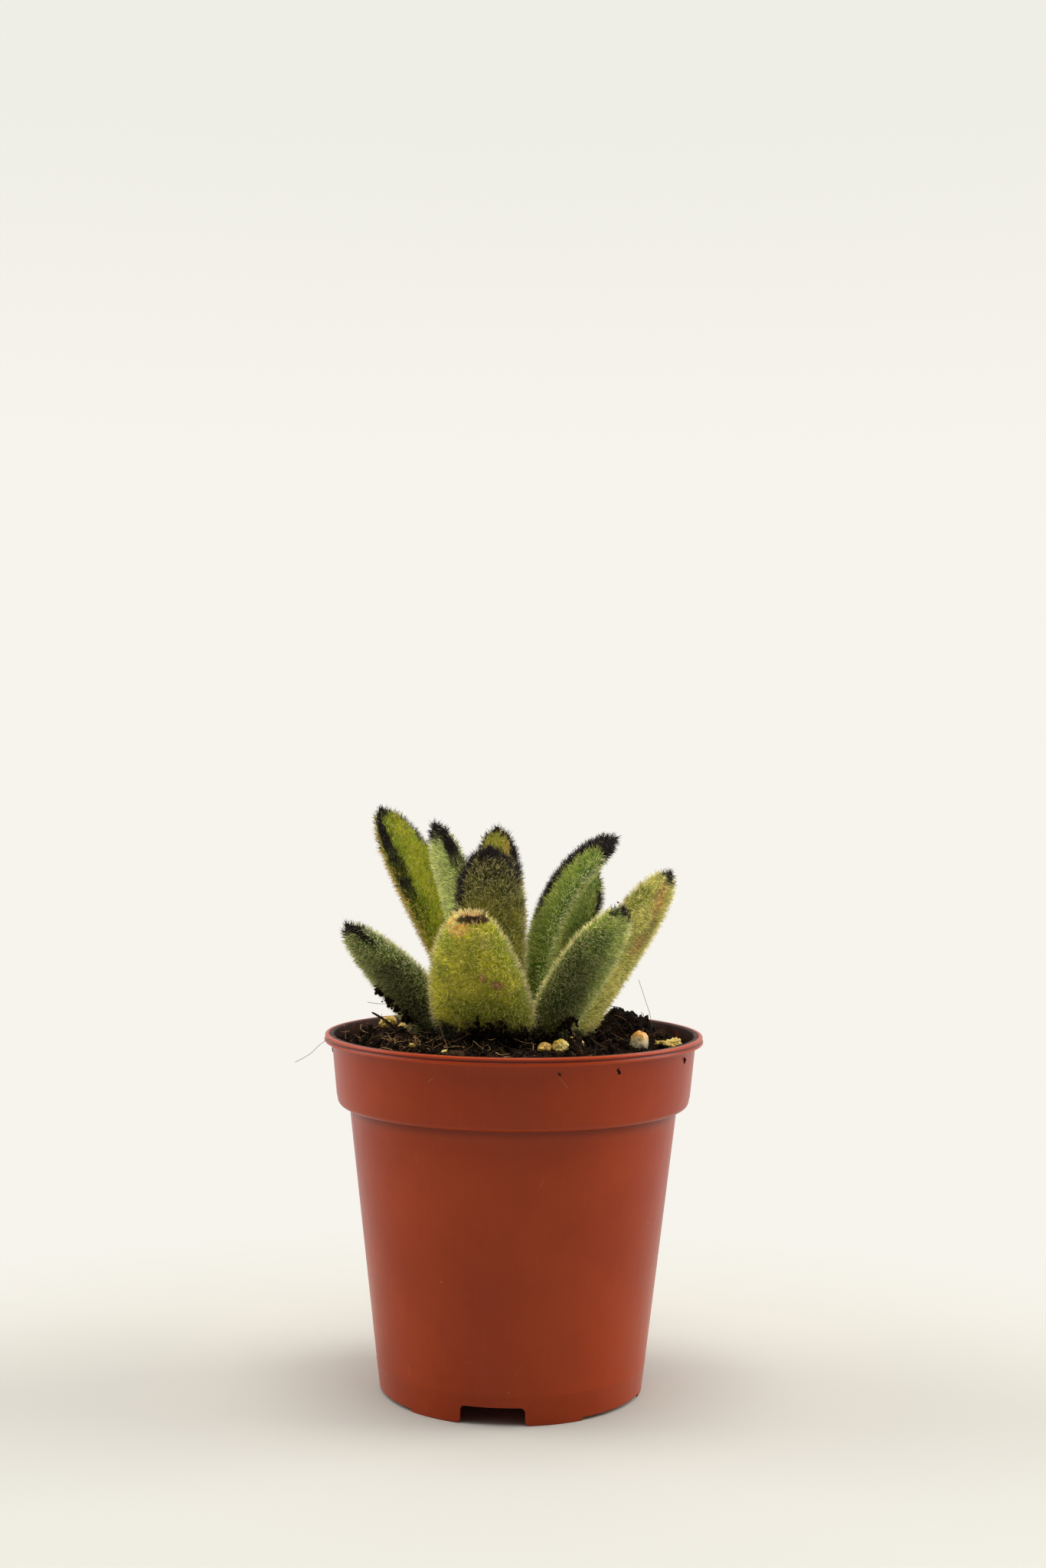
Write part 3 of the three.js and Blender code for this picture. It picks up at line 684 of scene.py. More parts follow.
def leafColours(look, along, across, side, spot):
    # the skin's colour, the fuzz's colour and how dark the fuzz is at one place of a leaf
    wobble = noise.noise(spot / 1.6)
    fine = noise.noise(spot / 0.55)
    mottle = ease(-0.35, 0.45, noise.noise(spot / 3.2) + 0.3 * fine)
    skin = [1.35 * c for c in blend(paint(*look["skin"]), paint(*look["second"]), mottle)]
    down = blend(paint(*look["down"]), skin, 0.30 + 0.1 * fine)
    edge = look["right"] if across > 0 else look["left"]
    margin = ease(0.80, 0.99, abs(across) + 0.05 * wobble)
    down = blend(down, shadeOf(edge[3]), 0.7 * margin)
    for placeAlong, placeAcross, size, shade, strength, facing in look["patches"]:
        if (side > 0) == (facing > 0):
            away = math.hypot((along - placeAlong), (across - placeAcross) * 0.22) / size
            share = strength * ease(1.25, 0.55, away + 0.25 * fine)
            skin = blend(skin, shadeOf(shade), share)
            down = blend(down, shadeOf(shade), share * 0.85)
    dashes = 0.5 + 0.9 * noise.noise(Vector((along * 11, 3.0 * (across > 0), spot.z * 0.05)))
    darkLine = 0.0
    if edge[0] < 1:
        marked = (side < 0) == look["inner"]  # its other side is dark only at the very edge
        reach = (edge[1] if marked else 0.9) + 0.16 * (wobble + 0.5 * fine)
        rise = ease(edge[0], min(1.0, edge[0] + look["fade"]), along + 0.06 * wobble)
        darkLine = ease(reach - 0.04, reach + 0.12, abs(across))
        darkLine *= ease(edge[2] + 0.06, edge[2] - 0.02, abs(across))
        darkLine *= rise * max(1 - edge[4] * (1 - ease(0.22, 0.50, dashes)), ease(0.72, 0.88, along))
    dark = max(darkLine, ease(look["tip"] - 0.03, look["tip"] + 0.03, along + 0.03 * (wobble + fine)))
    smoke = look["smoke"] * ease(0.62, 0.97, along + 0.1 * wobble)
    skin = blend(skin, shadeOf("black"), max(dark, smoke))
    down = blend(down, shadeOf("grey"), 0.5 * smoke)
    dusty = 0.0
    if look["dust"]:
        above = spot.z - soilBase(spot.x, spot.y) + 1.3 * wobble + 0.7 * fine
        dusty = ease(look["dust"], look["dust"] * 0.45, above)
    skin = blend(skin, shadeOf("soil"), 0.92 * dusty)
    down = blend(down, shadeOf("soil"), 0.8 * dusty)
    return skin, down, max(dark, 0.75 * smoke, 0.75 * dusty)


def scarColours(along, across, side, closing, spot, skin, down, dark):
    # the healed cut at the end of the front leaf: a tan felt rim, a burnt line under it and an amber blister;
    # the last number is how much of the fuzz is left there
    fine = noise.noise(spot / 0.4)
    outside = ease(-0.45, -0.05, side)
    scab = ease(0.955, 0.985, along + 0.01 * fine - 0.012 * across) * outside
    right = ease(-0.35, 0.25, across + 0.2 * fine)
    healed = blend(shadeOf("straw"), shadeOf("amber"), ease(-0.3, 0.3, fine))
    healed = blend(healed, shadeOf("rust"), 0.75 * right)
    skin = blend(skin, healed, scab)
    down = blend(down, healed, 0.9 * scab)
    away = math.hypot((along - 0.958) / 0.042, (across + 0.42) / 0.48)
    blister = ease(1.15, 0.8, away + 0.15 * fine) * outside
    honey = blend(shadeOf("straw"), shadeOf("amber"), ease(-0.4, 0.4, fine + 0.6 * across + 0.2))
    skin = blend(skin, honey, blister)
    down = blend(down, shadeOf("amber"), 0.9 * blister)
    burnt = ease(0.972, 0.99, along + 0.012 * fine) * ease(0.74, 0.58, closing) * outside
    burnt *= ease(-0.6, -0.2, fine + 0.1)
    burnt *= ease(-0.85, -0.55, across)
    skin = blend(skin, shadeOf("black"), 0.9 * burnt)
    rim = max(ease(0.55, 0.7, closing), ease(0.99, 1.0, along) * (1 - outside))
    skin = blend(skin, shadeOf("tan"), rim)
    down = blend(down, shadeOf("fawn"), 0.85 * rim)
    dark = max(dark * (1 - max(scab, blister)), 0.8 * burnt) * (1 - rim)
    return skin, down, dark, 1 - 0.75 * max(scab, blister) * (1 - rim)


def leafBody(name, look, material):
    rows, shares, length = smoothRows(readSections(name), leafMesh["stations"])
    around = leafMesh["round"]
    rings = [(row, share, 1.0, 0.0) for row, share in zip(rows, shares)]
    lastBulge = min(0.6, float(np.linalg.norm(rows[-1][2])))
    rings += [(rows[-1], 1.0, math.sqrt(1 - c * c), c * lastBulge) for c in leafMesh["closing"]]
    points, marks, ways = [], [], []
    tipWay = Vector(rows[-1][0] - rows[-3][0]).normalized()
    lastRow = len(rows) - 1
    for index, (row, share, scale, push) in enumerate(rings):
        middle, wide, outer, inner = (Vector(v) for v in row)
        ahead = tipWay
        if index <= lastRow:
            before, after = rows[max(0, index - 1)][0], rows[min(index + 1, lastRow)][0]
            ahead = (Vector(after) - Vector(before)).normalized()
        for i in range(around):
            turn = 2 * math.pi * i / around
            across, side = math.cos(turn), math.sin(turn)
            bulge = outer * side if side > 0 else inner * -side
            offset = (wide * (across * look["narrow"]) + bulge) * scale
            offset -= offset.normalized() * min(leafMesh["feltDepth"], 0.3 * offset.length)
            spot = middle + offset + tipWay * push
            small = min(1.0, offset.length / 1.2)
            lump = noise.noise(spot / leafMesh["bumpSize"]) * leafMesh["bumps"]
            lump += noise.noise(spot / leafMesh["rippleSize"]) * leafMesh["ripple"]
            wave = math.sin(share * length * leafMesh["toothRate"] + 1.7 * (across > 0))
            teeth = leafMesh["teeth"] * wave * abs(across) ** 8 * ease(0.35, 0.8, share)
            spot = spot + offset.normalized() * (lump + teeth) * small
            points.append(spot)
            marks.append((share, across, side, push / lastBulge))
            ways.append(ahead)
    footMiddle, tipMiddle = Vector(rows[0][0]), Vector(rows[-1][0]) + tipWay * lastBulge
    points += [footMiddle, tipMiddle]
    marks += [(0, 0, 0, 0), (1, 0, 0, 1)]
    ways += [ways[0], tipWay]
    faces = []
    for row in range(len(rings) - 1):
        faces += band(row * around, (row + 1) * around, around)
    last = (len(rings) - 1) * around
    faces += [(len(points) - 2, i, (i + 1) % around) for i in range(around)]
    faces += [(last + i, len(points) - 1, last + (i + 1) % around) for i in range(around)]
    leaf = meshObject(name + "_body", [p * mm for p in points], faces, material)
    skins, downs, darks, shows = [], [], [], []
    for spot, (along, across, side, closing) in zip(points, marks):
        skin, down, dark = leafColours(look, along, across, side, spot)
        left = 1.0
        if name == "leaf_front":
            skin, down, dark, left = scarColours(along, across, side, closing, spot, skin, down, dark)
        skins.append((*skin, 1))
        downs.append((*down, 1))
        darks.append(dark)
        shows.append(left if along > 0.04 else 0.0)
    storeColours(leaf.data, "leafSkin", skins)
    storeColours(leaf.data, "leafDown", downs)
    darkness = leaf.data.attributes.new("downDark", "FLOAT", "POINT")
    darkness.data.foreach_set("value", darks)
    shown = leaf.data.attributes.new("downShare", "FLOAT", "POINT")
    shown.data.foreach_set("value", shows)
    way = leaf.data.attributes.new("tipWay", "FLOAT_VECTOR", "POINT")
    way.data.foreach_set("vector", [c for w in ways for c in w])
    smoothShade(leaf)
    return leaf


def storeColours(mesh, name, colours):
    layer = mesh.attributes.new(name, "FLOAT_COLOR", "POINT")
    layer.data.foreach_set("color", [c for colour in colours for c in colour])


def leafSkinMaterial():
    material, tree, shader = newMaterial(
        "leafSkin", Roughness=0.8, Specular_IOR_Level=0.12, Sheen_Weight=0.15, Sheen_Roughness=0.5,
        Subsurface_Weight=0.08, Subsurface_Scale=0.0012,
    )
    place = objectPlace(tree)
    mottle = noiseAt(tree, place, 1500, 4, 0.65)
    pores = noiseAt(tree, place, 5200, 2)
    grey = greyOf(tree, steps(tree, mottle, 0.3, 0.7, 0.6, 1.3))
    colour = mixColours(tree, 1.0, attribute(tree, "leafSkin", "Color"), grey, "MULTIPLY")
    tree.links.new(colour, shader.inputs["Base Color"])
    addBump(tree, shader, maths(tree, "ADD", mottle, times(tree, pores, 0.5)), 0.00012, 0.6)
    return material


def fuzzMaterial():
    # each hair takes its colour from the leaf under it, paler or darker by its own tone and paler at its end
    material, tree, shader = newMaterial(
        "leafFuzz", Roughness=0.7, Specular_IOR_Level=0.12, Sheen_Weight=0.3, Sheen_Roughness=0.4,
    )
    down = attribute(tree, "leafDown", "Color")
    tone = attribute(tree, "hairTone")
    height = attribute(tree, "hairHeight")
    other = maths(tree, "FRACT", times(tree, tone, 17.0))
    strength = times(tree, steps(tree, tone, 0.0, 1.0, 0.6, 1.9), steps(tree, height, 0.0, 1.0, 0.8, 1.4))
    tinted = mixColours(tree, 1.0, down, greyOf(tree, strength), "MULTIPLY")
    pale = times(tree, steps(tree, other, 0.5, 0.88, 0.0, 0.82), steps(tree, height, 0.1, 0.8, 0.3, 1.0))
    colour = mixColours(tree, pale, tinted, shadeOf("fawn"))
    # a dark place turns most hairs black-brown, with ends a little paler, and leaves a few as they are
    dark = maths(tree, "MULTIPLY_ADD", attribute(tree, "downDark"), 1.35, times(tree, tone, -0.75))
    dark = steps(tree, dark, 0.18, 0.42)
    burnt = mixColours(tree, steps(tree, height, 0.3, 1.0, 0.0, 0.32), shadeOf("black"), shadeOf("brown"))
    greyEnd = times(tree, steps(tree, other, 0.86, 0.94), steps(tree, height, 0.2, 0.8))
    burnt = mixColours(tree, greyEnd, burnt, shadeOf("grey"))
    colour = mixColours(tree, dark, colour, burnt)
    tree.links.new(colour, shader.inputs["Base Color"])
    return material


def newTree(name, sockets):
    tree = bpy.data.node_groups.new(name, "GeometryNodeTree")
    tree.interface.new_socket("Geometry", in_out="OUTPUT", socket_type="NodeSocketGeometry")
    tree.interface.new_socket("Geometry", in_out="INPUT", socket_type="NodeSocketGeometry")
    for label, kind in sockets.items():
        tree.interface.new_socket(label, in_out="INPUT", socket_type="NodeSocket" + kind)
    given = tree.nodes.new("NodeGroupInput").outputs
    result = tree.nodes.new("NodeGroupOutput").inputs[0]
    return tree, given, result


def randomValue(tree, kind, low, high, seed):
    first = {"FLOAT_VECTOR": 0, "FLOAT": 2, "INT": 4}[kind]
    inputs = {first: low, first + 1: high, "Seed": seed}
    return addNode(tree, "FunctionNodeRandomValue", inputs, data_type=kind).outputs[first // 2]


def namedValue(tree, name, kind):
    return addNode(tree, "GeometryNodeInputNamedAttribute", {"Name": name}, data_type=kind).outputs[0]


def stored(tree, geometry, name, value):
    inputs = {"Geometry": geometry, "Name": name, "Value": value}
    return addNode(tree, "GeometryNodeStoreNamedAttribute", inputs, data_type="FLOAT").outputs[0]


def painted(tree, geometry, material, result):
    made = addNode(tree, "GeometryNodeSetMaterial", {"Geometry": geometry, "Material": material})
    tree.links.new(made.outputs[0], result)


def hairTree():
    # thin bent hairs, each a closed three-sided cone, scattered over a leaf and combed towards its tip
    tree, given, result = newTree("leaf hairs", {
        "Per Square Metre": "Float", "Shortest": "Float", "Longest": "Float", "Slimness": "Float",
        "Comb": "Float", "Tangle": "Float", "Bend": "Float", "Seed": "Int", "Material": "Material",
    })
    density = times(tree, given["Per Square Metre"], namedValue(tree, "downShare", "FLOAT"))
    scatter = addNode(tree, "GeometryNodeDistributePointsOnFaces", {
        "Mesh": given["Geometry"], "Density": density, "Seed": given["Seed"],
    })
    toned = stored(tree, scatter.outputs["Points"], "hairTone", randomValue(tree, "FLOAT", 0.0, 1.0, 1))
    cone = addNode(tree, "GeometryNodeMeshCone", {
        "Vertices": 3, "Side Segments": 2, "Depth": 1.0,
        "Radius Top": 0.0, "Radius Bottom": given["Slimness"],
    }, fill_type="NGON")
    place = addNode(tree, "GeometryNodeInputPosition").outputs[0]
    up = split(tree, place)[2]
    marked = stored(tree, cone.outputs["Mesh"], "hairHeight", up)
    # the middle ring is as wide as the foot, so that a hair stays thick to its middle, and its end bends over
    fuller = maths(tree, "MULTIPLY_ADD", times(tree, up, maths(tree, "SUBTRACT", 1.0, up)), 3.6, 1.0)
    fuller = addNode(tree, "ShaderNodeCombineXYZ", {0: fuller, 1: fuller, 2: 1.0}).outputs[0]
    lean = times(tree, times(tree, up, up), given["Bend"])
    lean = addNode(tree, "ShaderNodeCombineXYZ", {0: lean}).outputs[0]
    moved = vectors(tree, "ADD", vectors(tree, "MULTIPLY", place, fuller), lean)
    bent = addNode(tree, "GeometryNodeSetPosition", {"Geometry": marked, "Position": moved})
    comb = scaled(tree, namedValue(tree, "tipWay", "FLOAT_VECTOR"), given["Comb"])
    stray = scaled(tree, randomValue(tree, "FLOAT_VECTOR", (-1, -1, -1), (1, 1, 1), 2), given["Tangle"])
    way = vectors(tree, "ADD", vectors(tree, "ADD", scatter.outputs["Normal"], comb), stray)
    facing = addNode(tree, "FunctionNodeAlignRotationToVector", {"Vector": way}, axis="Z").outputs[0]
    spin = randomValue(tree, "FLOAT", 0.0, 2 * math.pi, 3)
    spin = addNode(tree, "ShaderNodeCombineXYZ", {2: spin}).outputs[0]
    inputs = {0: facing, 1: spin}
    facing = addNode(tree, "FunctionNodeRotateRotation", inputs, rotation_space="LOCAL").outputs[0]
    hairs = addNode(tree, "GeometryNodeInstanceOnPoints", {
        "Points": toned, "Instance": bent.outputs[0], "Rotation": facing,
        "Scale": randomValue(tree, "FLOAT", given["Shortest"], given["Longest"], 4),
    })
    real = addNode(tree, "GeometryNodeRealizeInstances", {0: hairs.outputs[0]})
    painted(tree, real.outputs[0], given["Material"], result)
    return tree


def hairMap(mesh, corners, name="OFBake"):
    # a map with a cell of its own for every hair, its root at the cell's foot
    vertex = np.empty(len(mesh.loops), np.int32)
    mesh.loops.foreach_get("vertex_index", vertex)
    height = np.empty(len(mesh.vertices), np.float32)
    mesh.attributes["hairHeight"].data.foreach_get("value", height)
    hair = vertex // corners
    cells = math.ceil(math.sqrt(hair.max() + 1))
    spread = np.array([0.1, 0.5, 0.9])[(vertex % corners) % 3]
    u = (hair % cells + spread) / cells
    v = (hair // cells + 0.1 + 0.8 * np.clip(height[vertex], 0, 1)) / cells
    layer = mesh.uv_layers.new(name=name)
    layer.uv.foreach_set("vector", np.stack([u, v], 1).astype(np.float32).ravel())


fuzz = {
    "Per Square Metre": 25.5e6, "Shortest": 0.45 * mm, "Longest": 1.05 * mm, "Slimness": 0.039,
    "Comb": 0.45, "Tangle": 0.65, "Bend": 0.35,
}
hairCorners = 7
print("leaves: lofting and painting")
skinMaterial = leafSkinMaterial()
downMaterial = fuzzMaterial()
combed = hairTree()
leafBodies = {}
for index, (name, look) in enumerate(leafLooks.items()):
    leaf = leafBody(name, {**plainLeaf, **look}, skinMaterial)
    coat = linked(name + "_coat", leaf.data.copy())
    values = {**fuzz, "Seed": 100 + index, "Material": downMaterial}
    if name.startswith("young"):
        values |= {"Shortest": 0.3 * mm, "Longest": 0.6 * mm}
    addTree(coat, combed, values)
    coatPiece = baked(coat, name + "_fuzz")
    for unused in ("tipWay", "downShare", "leafSkin"):
        coatPiece.data.attributes.remove(coatPiece.data.attributes[unused])
    hairMap(coatPiece.data, hairCorners)
    finished(leaf, "felted_leaf", name)
    finished(coatPiece, "felted_leaf")
    leafBodies[name] = leaf
    print("leaf", name, len(coatPiece.data.vertices) // hairCorners, "hairs")


# Stem: the growing tip and the roots, smoothed from the solid

def smoothed(node, name, material, levels, swell, bumps, bumpSize):
    # a fine copy of a small solid, swollen by what smoothing takes off it, with noise bumps
    shape = bmesh.new()
    shape.from_mesh(cadNodes[node].data)
    bmesh.ops.remove_doubles(shape, verts=shape.verts, dist=1e-4 * mm)
    mesh = bpy.data.meshes.new(name)
    shape.to_mesh(mesh)
    shape.free()
    rough = linked(name + "_rough", mesh)
    finer = rough.modifiers.new("finer", "SUBSURF")
    finer.levels = levels
    finer.render_levels = levels
    piece = baked(rough, name)
    middle = sum((v.co for v in piece.data.vertices), Vector()) / len(piece.data.vertices)
    for vertex in piece.data.vertices:
        out = vertex.co - middle
        lump = noise.fractal(vertex.co / mm / bumpSize, 0.8, 2.0, 3) * bumps
        vertex.co = middle + out * (swell + lump)
    piece.data.update()
    piece.data.materials.clear()
    piece.data.materials.append(material)
    smoothShade(piece)
    return piece


def mottledMaterial(name, colours, scale, roughness, bump=0.0002, specular=0.4):
    # three colours mixed by noise of one scale, with a finer grain on top
    material, tree, shader = newMaterial(name, Roughness=roughness, Specular_IOR_Level=specular)
    place = objectPlace(tree)
    broad = noiseAt(tree, place, scale, 3, 0.6)
    grain = noiseAt(tree, place, scale * 4, 3, 0.7)
    colour = mixColours(tree, steps(tree, broad, 0.35, 0.62), paint(*colours[0]), paint(*colours[1]))
    colour = mixColours(tree, steps(tree, grain, 0.56, 0.70), colour, paint(*colours[2]))
    tree.links.new(colour, shader.inputs["Base Color"])
    addBump(tree, shader, grain, bump, 0.7)
    return material


def creamMaterial():
    # a waxy grain, white below and orange towards its top
    material, tree, shader = newMaterial(
        "creamGranule", Roughness=0.22, Subsurface_Weight=0.15, Subsurface_Scale=0.0008,
    )
    place = objectPlace(tree)
    up = split(tree, place)[2]
    low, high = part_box("granule_right")
    wobble = times(tree, noiseAt(tree, place, 700, 3), 1.2 * mm)
    rise = steps(tree, maths(tree, "ADD", up, wobble), low.z + 0.62 * (high.z - low.z), high.z + 0.3 * mm)
    colour = mixColours(tree, rise, paint(*cream["low"]), paint(*cream["high"]))
    flecked = steps(tree, noiseAt(tree, place, 1700, 3), 0.60, 0.72, 0, 0.6)
    colour = mixColours(tree, flecked, colour, paint(*cream["fleck"]))
    tree.links.new(colour, shader.inputs["Base Color"])
    addBump(tree, shader, noiseAt(tree, place, 1400, 3), 0.0001, 0.6)
    return material


print("stem, granules and chips")
stemMaterial = mottledMaterial("youngStem", [(96, 98, 52), (120, 112, 66), (70, 54, 34)], 500, 0.75)
finished(smoothed("stem_with_roots", "stem", stemMaterial, 1, 1.0, 0.0, 1.0), "stem", "stem_with_roots")

cream = {"low": (244, 232, 190), "high": (226, 160, 52), "fleck": (150, 92, 34)}
granuleFinishes = {
    "cream": creamMaterial(),
    "straw": mottledMaterial("strawGranule", [(232, 206, 116), (214, 176, 70), (96, 66, 30)], 520, 0.3),
    "tan": mottledMaterial("tanGranule", [(196, 146, 60), (222, 184, 96), (46, 30, 16)], 560, 0.45),
}
granules = {
    "granule_right": "cream", "flake_right_upper": "straw", "flake_right_lower": "straw",
    "granule_centre_left": "tan", "granule_centre_right": "straw", "granule_left_large": "straw",
    "granule_left_small": "straw", "granule_rear_left": "tan", "granule_rear_right": "straw",
}


def grainOf(node, name, material, bumps):
    # a rounded lumpy grain that fills the solid's own length, width and thickness
    mesh = cadNodes[node].data
    corners = np.empty(len(mesh.vertices) * 3)
    mesh.vertices.foreach_get("co", corners)
    corners = np.unique(np.round(corners.reshape(-1, 3), 7), axis=0)
    middle = corners.mean(0)
    axes = np.linalg.eigh(np.cov((corners - middle).T))[1]
    if np.linalg.det(axes) < 0:
        axes[:, 0] *= -1
    along = (corners - middle) @ axes
    half = (along.max(0) - along.min(0)) / 2
    middle = middle + axes @ ((along.max(0) + along.min(0)) / 2)
    ball = bmesh.new()
    bmesh.ops.create_icosphere(ball, subdivisions=5, radius=1)
    for vertex in ball.verts:
        way = vertex.co.normalized()
        square = max(abs(c) for c in way)  # a little squarer than an oval
        spot = Vector(middle) / mm + way * 2.0
        lump = 1 + noise.fractal(spot / 0.9, 0.8, 2.0, 4) * bumps
        reach = (0.9 + 0.1 / square) * lump
        vertex.co = Vector(middle + axes @ (np.array(way) * half * reach))
    made = bpy.data.meshes.new(name)
    ball.to_mesh(made)
    ball.free()
    piece = linked(name, made)
    made.materials.append(material)
    smoothShade(piece)
    return piece


granuleBumps = {"flake": 0.34, "cream": 0.07, "other": 0.16}
for node, finish in granules.items():
    kind = "flake" if node.startswith("flake") else finish
    bumps = granuleBumps.get(kind, granuleBumps["other"])
    finished(grainOf(node, node + "_fine", granuleFinishes[finish], bumps), "granule", node)

barkMaterial = mottledMaterial("bark", [(60, 40, 24), (32, 21, 13), (118, 84, 50)], 700, 0.9, 0.0003, 0.1)
for node in ("bark_chip_right", "bark_chip_front", "bark_chip_rear"):
    finished(smoothed(node, node + "_fine", barkMaterial, 3, 1.1, 0.30, 0.6), "bark", node)
finished(smoothed("twig", "twig_fine", barkMaterial, 2, 1.0, 0.02, 0.5), "bark", "twig")


# Crumbs and fibres scattered on the soil

def scatterTree():
    # lumps of one shape strewn over a surface, squashed and turned at random and half sunk
    tree, given, result = newTree("soil crumbs", {
        "Per Square Metre": "Float", "Smallest": "Float", "Largest": "Float", "Fineness": "Int",
        "Seed": "Int", "Material": "Material",
    })
    up = split(tree, addNode(tree, "GeometryNodeInputNormal").outputs[0])[2]
    onTop = maths(tree, "GREATER_THAN", up, 0.1)
    scatter = addNode(tree, "GeometryNodeDistributePointsOnFaces", {
        "Mesh": given["Geometry"], "Selection": onTop, "Density": given["Per Square Metre"],
        "Seed": given["Seed"],
    })
    ball = addNode(tree, "GeometryNodeMeshIcoSphere", {"Radius": 1.0, "Subdivisions": given["Fineness"]})
    place = addNode(tree, "GeometryNodeInputPosition").outputs[0]
    lumps = addNode(tree, "ShaderNodeTexNoise", {"Vector": place, "Scale": 1.3, "Detail": 1.0}).outputs[1]
    lumps = scaled(tree, vectors(tree, "SUBTRACT", lumps, (0.5, 0.5, 0.5)), 1.6)
    lump = addNode(tree, "GeometryNodeSetPosition", {"Geometry": ball.outputs["Mesh"], "Offset": lumps})
    size = maths(tree, "POWER", randomValue(tree, "FLOAT", 0.0, 1.0, 5), 2.2)
    inputs = {0: size, 3: given["Smallest"], 4: given["Largest"]}
    size = addNode(tree, "ShaderNodeMapRange", inputs).outputs[0]
    shape = randomValue(tree, "FLOAT_VECTOR", (0.6, 0.45, 0.35), (1.25, 1.0, 0.8), 6)
    turn = randomValue(tree, "FLOAT_VECTOR", (0, 0, 0), (6.3, 6.3, 6.3), 7)
    strewn = addNode(tree, "GeometryNodeInstanceOnPoints", {
        "Points": scatter.outputs["Points"], "Instance": lump.outputs[0], "Rotation": turn,
        "Scale": scaled(tree, shape, size),
    })
    real = addNode(tree, "GeometryNodeRealizeInstances", {0: strewn.outputs[0]})
    warp = addNode(tree, "ShaderNodeTexNoise", {"Vector": place, "Scale": 1800.0, "Detail": 1.0}).outputs[1]
    warp = scaled(tree, vectors(tree, "SUBTRACT", warp, (0.5, 0.5, 0.5)), 0.35 * mm)
    rough = addNode(tree, "GeometryNodeSetPosition", {"Geometry": real.outputs[0], "Offset": warp})
    painted(tree, rough.outputs[0], given["Material"], result)
    return tree


def strew(name, tree, values):
    ground = linked(name + "_ground", bed.data.copy())
    addTree(ground, tree, values)
    piece = baked(ground, name)
    finished(piece, "soil")
    return piece


print("soil: strewing crumbs")
crumbTree = scatterTree()
crumbSoil = mottledMaterial("crumbSoil", [(48, 31, 18), (20, 13, 8), (110, 80, 48)], 900, 0.93, 0.0003, 0.08)
paleCrumbs = mottledMaterial(
    "paleCrumbs", [(120, 88, 50), (74, 52, 30), (160, 132, 88)], 900, 0.85, 0.0002, 0.2,
)
strewnSorts = {
    "soil_crumbs": {
        "Per Square Metre": 1.5e6, "Smallest": 0.14 * mm, "Largest": 0.62 * mm, "Fineness": 1, "Seed": 21,
        "Material": crumbSoil,
    },
    "soil_clods": {
        "Per Square Metre": 0.32e6, "Smallest": 0.35 * mm, "Largest": 1.15 * mm, "Fineness": 2, "Seed": 22,
        "Material": peat,
    },
    "soil_flecks": {
        "Per Square Metre": 0.11e6, "Smallest": 0.12 * mm, "Largest": 0.42 * mm, "Fineness": 1, "Seed": 23,
        "Material": paleCrumbs,
    },
}
for name, values in strewnSorts.items():
    piece = strew(name, crumbTree, values)
    print(name, len(piece.data.polygons), "faces")


def tube(points, radii, sides=5):
    # a closed round tube through the points
    ringPoints, faces = [], []
    for i, point in enumerate(points):
        ahead = (points[min(i + 1, len(points) - 1)] - points[max(i - 1, 0)]).normalized()
        across = ahead.cross(Vector((0.31, 0.24, 0.92))).normalized()
        out = across.cross(ahead)
        for k in range(sides):
            turn = 2 * math.pi * k / sides
            ringPoints.append(point + (across * math.cos(turn) + out * math.sin(turn)) * radii[i])
    for row in range(len(points) - 1):
        low, high = row * sides, (row + 1) * sides
        faces += [(low + k, low + (k + 1) % sides, high + (k + 1) % sides, high + k) for k in range(sides)]
    last = (len(points) - 1) * sides
    faces += [tuple(reversed(range(sides))), tuple(range(last, last + sides))]
    return ringPoints, faces


def fibreRun(start, azimuth, length, rise, curl, stations, rng):
    # a wandering run of points from a start, which lies down along the soil or stands up from it
    points, heading, climb = [start], azimuth, rise
    for _ in range(stations):
        heading += rng.uniform(-curl, curl)
        climb += rng.uniform(-curl, curl) * 0.5 - climb * 0.12
        step = polar(heading, math.cos(math.radians(climb)), math.sin(math.radians(climb)))
        points.append(points[-1] + step * (length / stations))
    return points


def soilFibres(name, sort, material):
    rng = random.Random(sort["seed"])
    points, faces = [], []

    for i in range(sort["count"]):
        azimuth, radius = rng.uniform(0, 360), soilEdge * math.sqrt(rng.random()) * 0.96
        if rng.random() < sort["gathered"]:  # at the left front, where the roots show
            azimuth, radius = rng.gauss(212, 24), soilEdge * rng.uniform(0.55, 0.97)
        start = polar(azimuth, radius)
        start.z = soilTop(start.x, start.y) + rng.uniform(-0.1, sort["lift"])
        run = fibreRun(
            start, rng.uniform(0, 360), rng.uniform(*sort["length"]), rng.uniform(-5, 40), 34, 8, rng,
        )
        thick = rng.uniform(*sort["radius"])
        radii = [thick * (1 - 0.6 * k / 9) for k in range(9)]
        addPart(points, faces, *tube([keepInside(p) for p in run], radii))
    for x, y, z, count, length in sort["tufts"]:
        for _ in range(count):
            reach = rng.uniform(0.4, 1) * length
            run = fibreRun(Vector((x, y, z)), rng.uniform(0, 360), reach, rng.uniform(-70, 90), 50, 5, rng)
            addPart(points, faces, *tube(run, [sort["tuftRadius"] * (1 - 0.15 * k) for k in range(6)]))
    return meshObject(name, [p * mm for p in points], faces, material)


def keepInside(point):
    # lifts a point onto the soil and holds it inside the collar
    flat = Vector((point.x, point.y, 0))
    if flat.length > soilEdge - 0.1:
        flat *= (soilEdge - 0.1) / flat.length
    return Vector((flat.x, flat.y, max(point.z, soilTop(flat.x, flat.y) + 0.05)))


